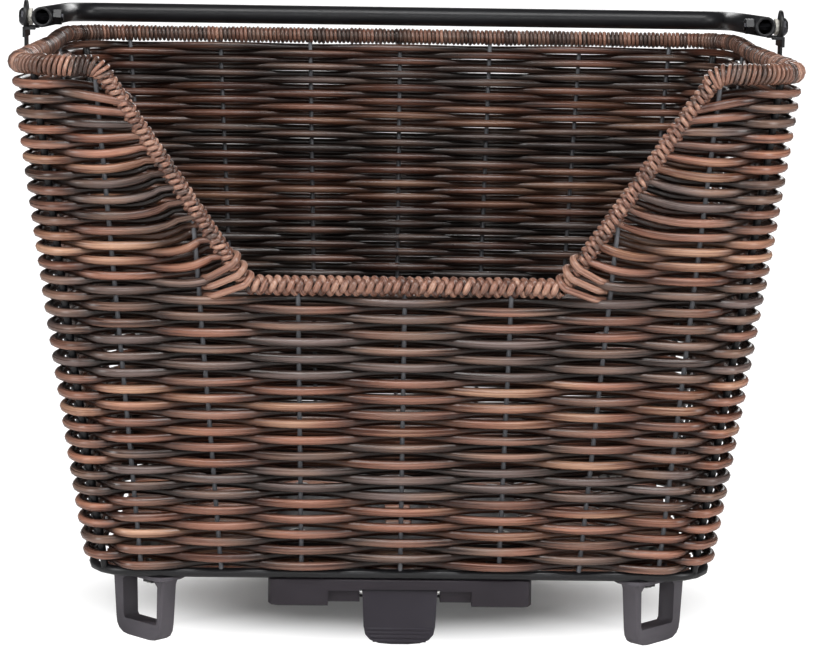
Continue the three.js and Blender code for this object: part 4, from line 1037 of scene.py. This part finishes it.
def frame_wires():
    """The base ring, the stakes, the floor's wires and the bent wire of the notch."""
    length = wall_length(ring_height)
    ring = [wall_point(length * at / ring_steps, ring_height) for at in range(ring_steps)]
    wires = [strand_of(ring, ring_wire_radius, plain, closed=True)]
    for number in range(len(stake_places(ring_height))):
        line = []
        for height in np.linspace(ring_height, rim_height, stake_steps):
            here = wall_point(stake_places(height)[number], height)
            if here.y < 0 and height > sill_height and abs(here.x) < edge_x(height):
                break
            line.append(here)
        if number in corner_stakes:
            wires.append(strand_of(line, corner_stake_radius, plain))
        else:
            wires.append(strand_of(line, stake_radius, wear_and_sheen))
    for x in floor_wires:
        line = [Vector((x, share * ring_half_width, floor_z)) for share in (-1, 0, 1)]
        wires.append(strand_of(line, stake_radius, wear_and_sheen))
    inside_rim = notch_top + Vector((rim_overlap, 0, 0))
    edge = fillet_path([
        (inside_rim, 0), (notch_top, notch_bend), (sill_end, sill_bend),
        (sill_end * flip, sill_bend), (notch_top * flip, notch_bend), (inside_rim * flip, 0)], 8)
    wires.append(strand_of(edge, edge_wire_radius, plain))
    return wires


new_piece("round_wires", strand_mesh("round_wires", frame_wires(), 10), "root", black_coat,
          "black_steel", "wire_frame")

# %% [markdown]
# The handle is one steel tube, bent twice and left open at its ends, as the photograph shows.
# A swept curve gives the outside, and a Solidify modifier gives the wall.

# %% Handle
handle_low, handle_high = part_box("handle_tube")
handle_radius = 5.5 * mm
pivot_height = 317 * mm
bar_height = 313.6 * mm
bar_y = handle_high.y - handle_radius
handle_x = rim_half_length
handle_bend = 20 * mm
tube_wall = 1.5 * mm


def handle_point(x, y):
    """A point of the handle, which sinks a little from the pivots to the bar."""
    return Vector((x, y, pivot_height + (bar_height - pivot_height) * y / bar_y))


handle_path = fillet_path([
    (handle_point(-handle_x, handle_low.y), 0), (handle_point(-handle_x, bar_y), handle_bend),
    (handle_point(handle_x, bar_y), handle_bend), (handle_point(handle_x, handle_low.y), 0)], 14)
handle_mesh = strand_mesh("handle_bar", [strand_of(handle_path, handle_radius, plain)], 24)
handle = new_piece("handle_bar", handle_mesh, "handle", black_coat, "black_steel", "handle_tube")
hollow = handle.modifiers.new("tube_wall", "SOLIDIFY")
hollow.thickness = tube_wall
hollow.offset = -1

# %% [markdown]
# The mouldings and the sheet metal already have their real outline in CAD. What they lack is the
# small round on every edge that catches the light. A copy of the node is welded, its flat
# facets are joined, and a Bevel modifier rounds what is left.

# %% Rounded copies of CAD pieces
def rounded_copy(node, body, material, slot, width, angle=35):
    """Edges sharper than the angle in degrees get a round of this width."""
    shape = bmesh.new()
    shape.from_mesh(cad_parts[node].data)
    bmesh.ops.remove_doubles(shape, verts=shape.verts, dist=0.002 * mm)
    bmesh.ops.dissolve_limit(shape, angle_limit=math.radians(1),
                             verts=shape.verts, edges=shape.edges)
    mesh = bpy.data.meshes.new(f"{node}_rounded")
    shape.to_mesh(mesh)
    shape.free()
    mesh.shade_smooth()
    piece = new_piece(f"{node}_rounded", mesh, body, material, slot, node)
    edge = piece.modifiers.new("edge_round", "BEVEL")
    edge.width = width
    edge.segments = 2
    edge.limit_method = "ANGLE"
    edge.angle_limit = math.radians(angle)
    edge.harden_normals = True
    return piece


corners = ("front_left", "front_right", "rear_left", "rear_right")
sides = ("left", "right")
for corner in corners:
    rounded_copy(f"foot_{corner}", "root", foot_nylon, "moulded", 0.5 * mm)
rounded_copy("adapter_plate", "root", adapter_nylon, "moulded", 0.3 * mm)
rounded_copy("claw_bar", "root", adapter_nylon, "moulded", 0.3 * mm)
rounded_copy("release_lever", "lever", lever_nylon, "moulded", 0.25 * mm)
rounded_copy("counter_plate", "root", black_coat, "black_steel", 0.3 * mm)
for side in sides:
    rounded_copy(f"handle_bracket_{side}", "root", black_coat, "black_steel", 0.3 * mm)
    rounded_copy(f"bracket_backing_{side}", "root", black_coat, "black_steel", 0.2 * mm)

# %% CAD nodes that keep their shape
def keep_with(material, *nodes):
    """Gives CAD nodes a material and leaves their shape alone."""
    for node in nodes:
        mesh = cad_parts[node].data
        mesh.materials.clear()
        mesh.materials.append(material)


for corner in corners:
    keep_with(zinc, f"foot_washer_{corner}", f"foot_screw_{corner}",
              f"adapter_screw_{corner}", f"adapter_nut_{corner}")
    keep_with(black_coat, f"foot_nut_{corner}")
for side in sides:
    keep_with(dull_zinc, f"pivot_bolt_{side}")
    keep_with(black_coat, f"pivot_nut_{side}")
    keep_with(natural_nylon, f"pivot_spacer_{side}")
    for row_name in ("upper", "lower"):
        keep_with(zinc, f"bracket_screw_{side}_{row_name}", f"bracket_nut_{side}_{row_name}")
keep_with(zinc, "lever_pin", "lever_spring")
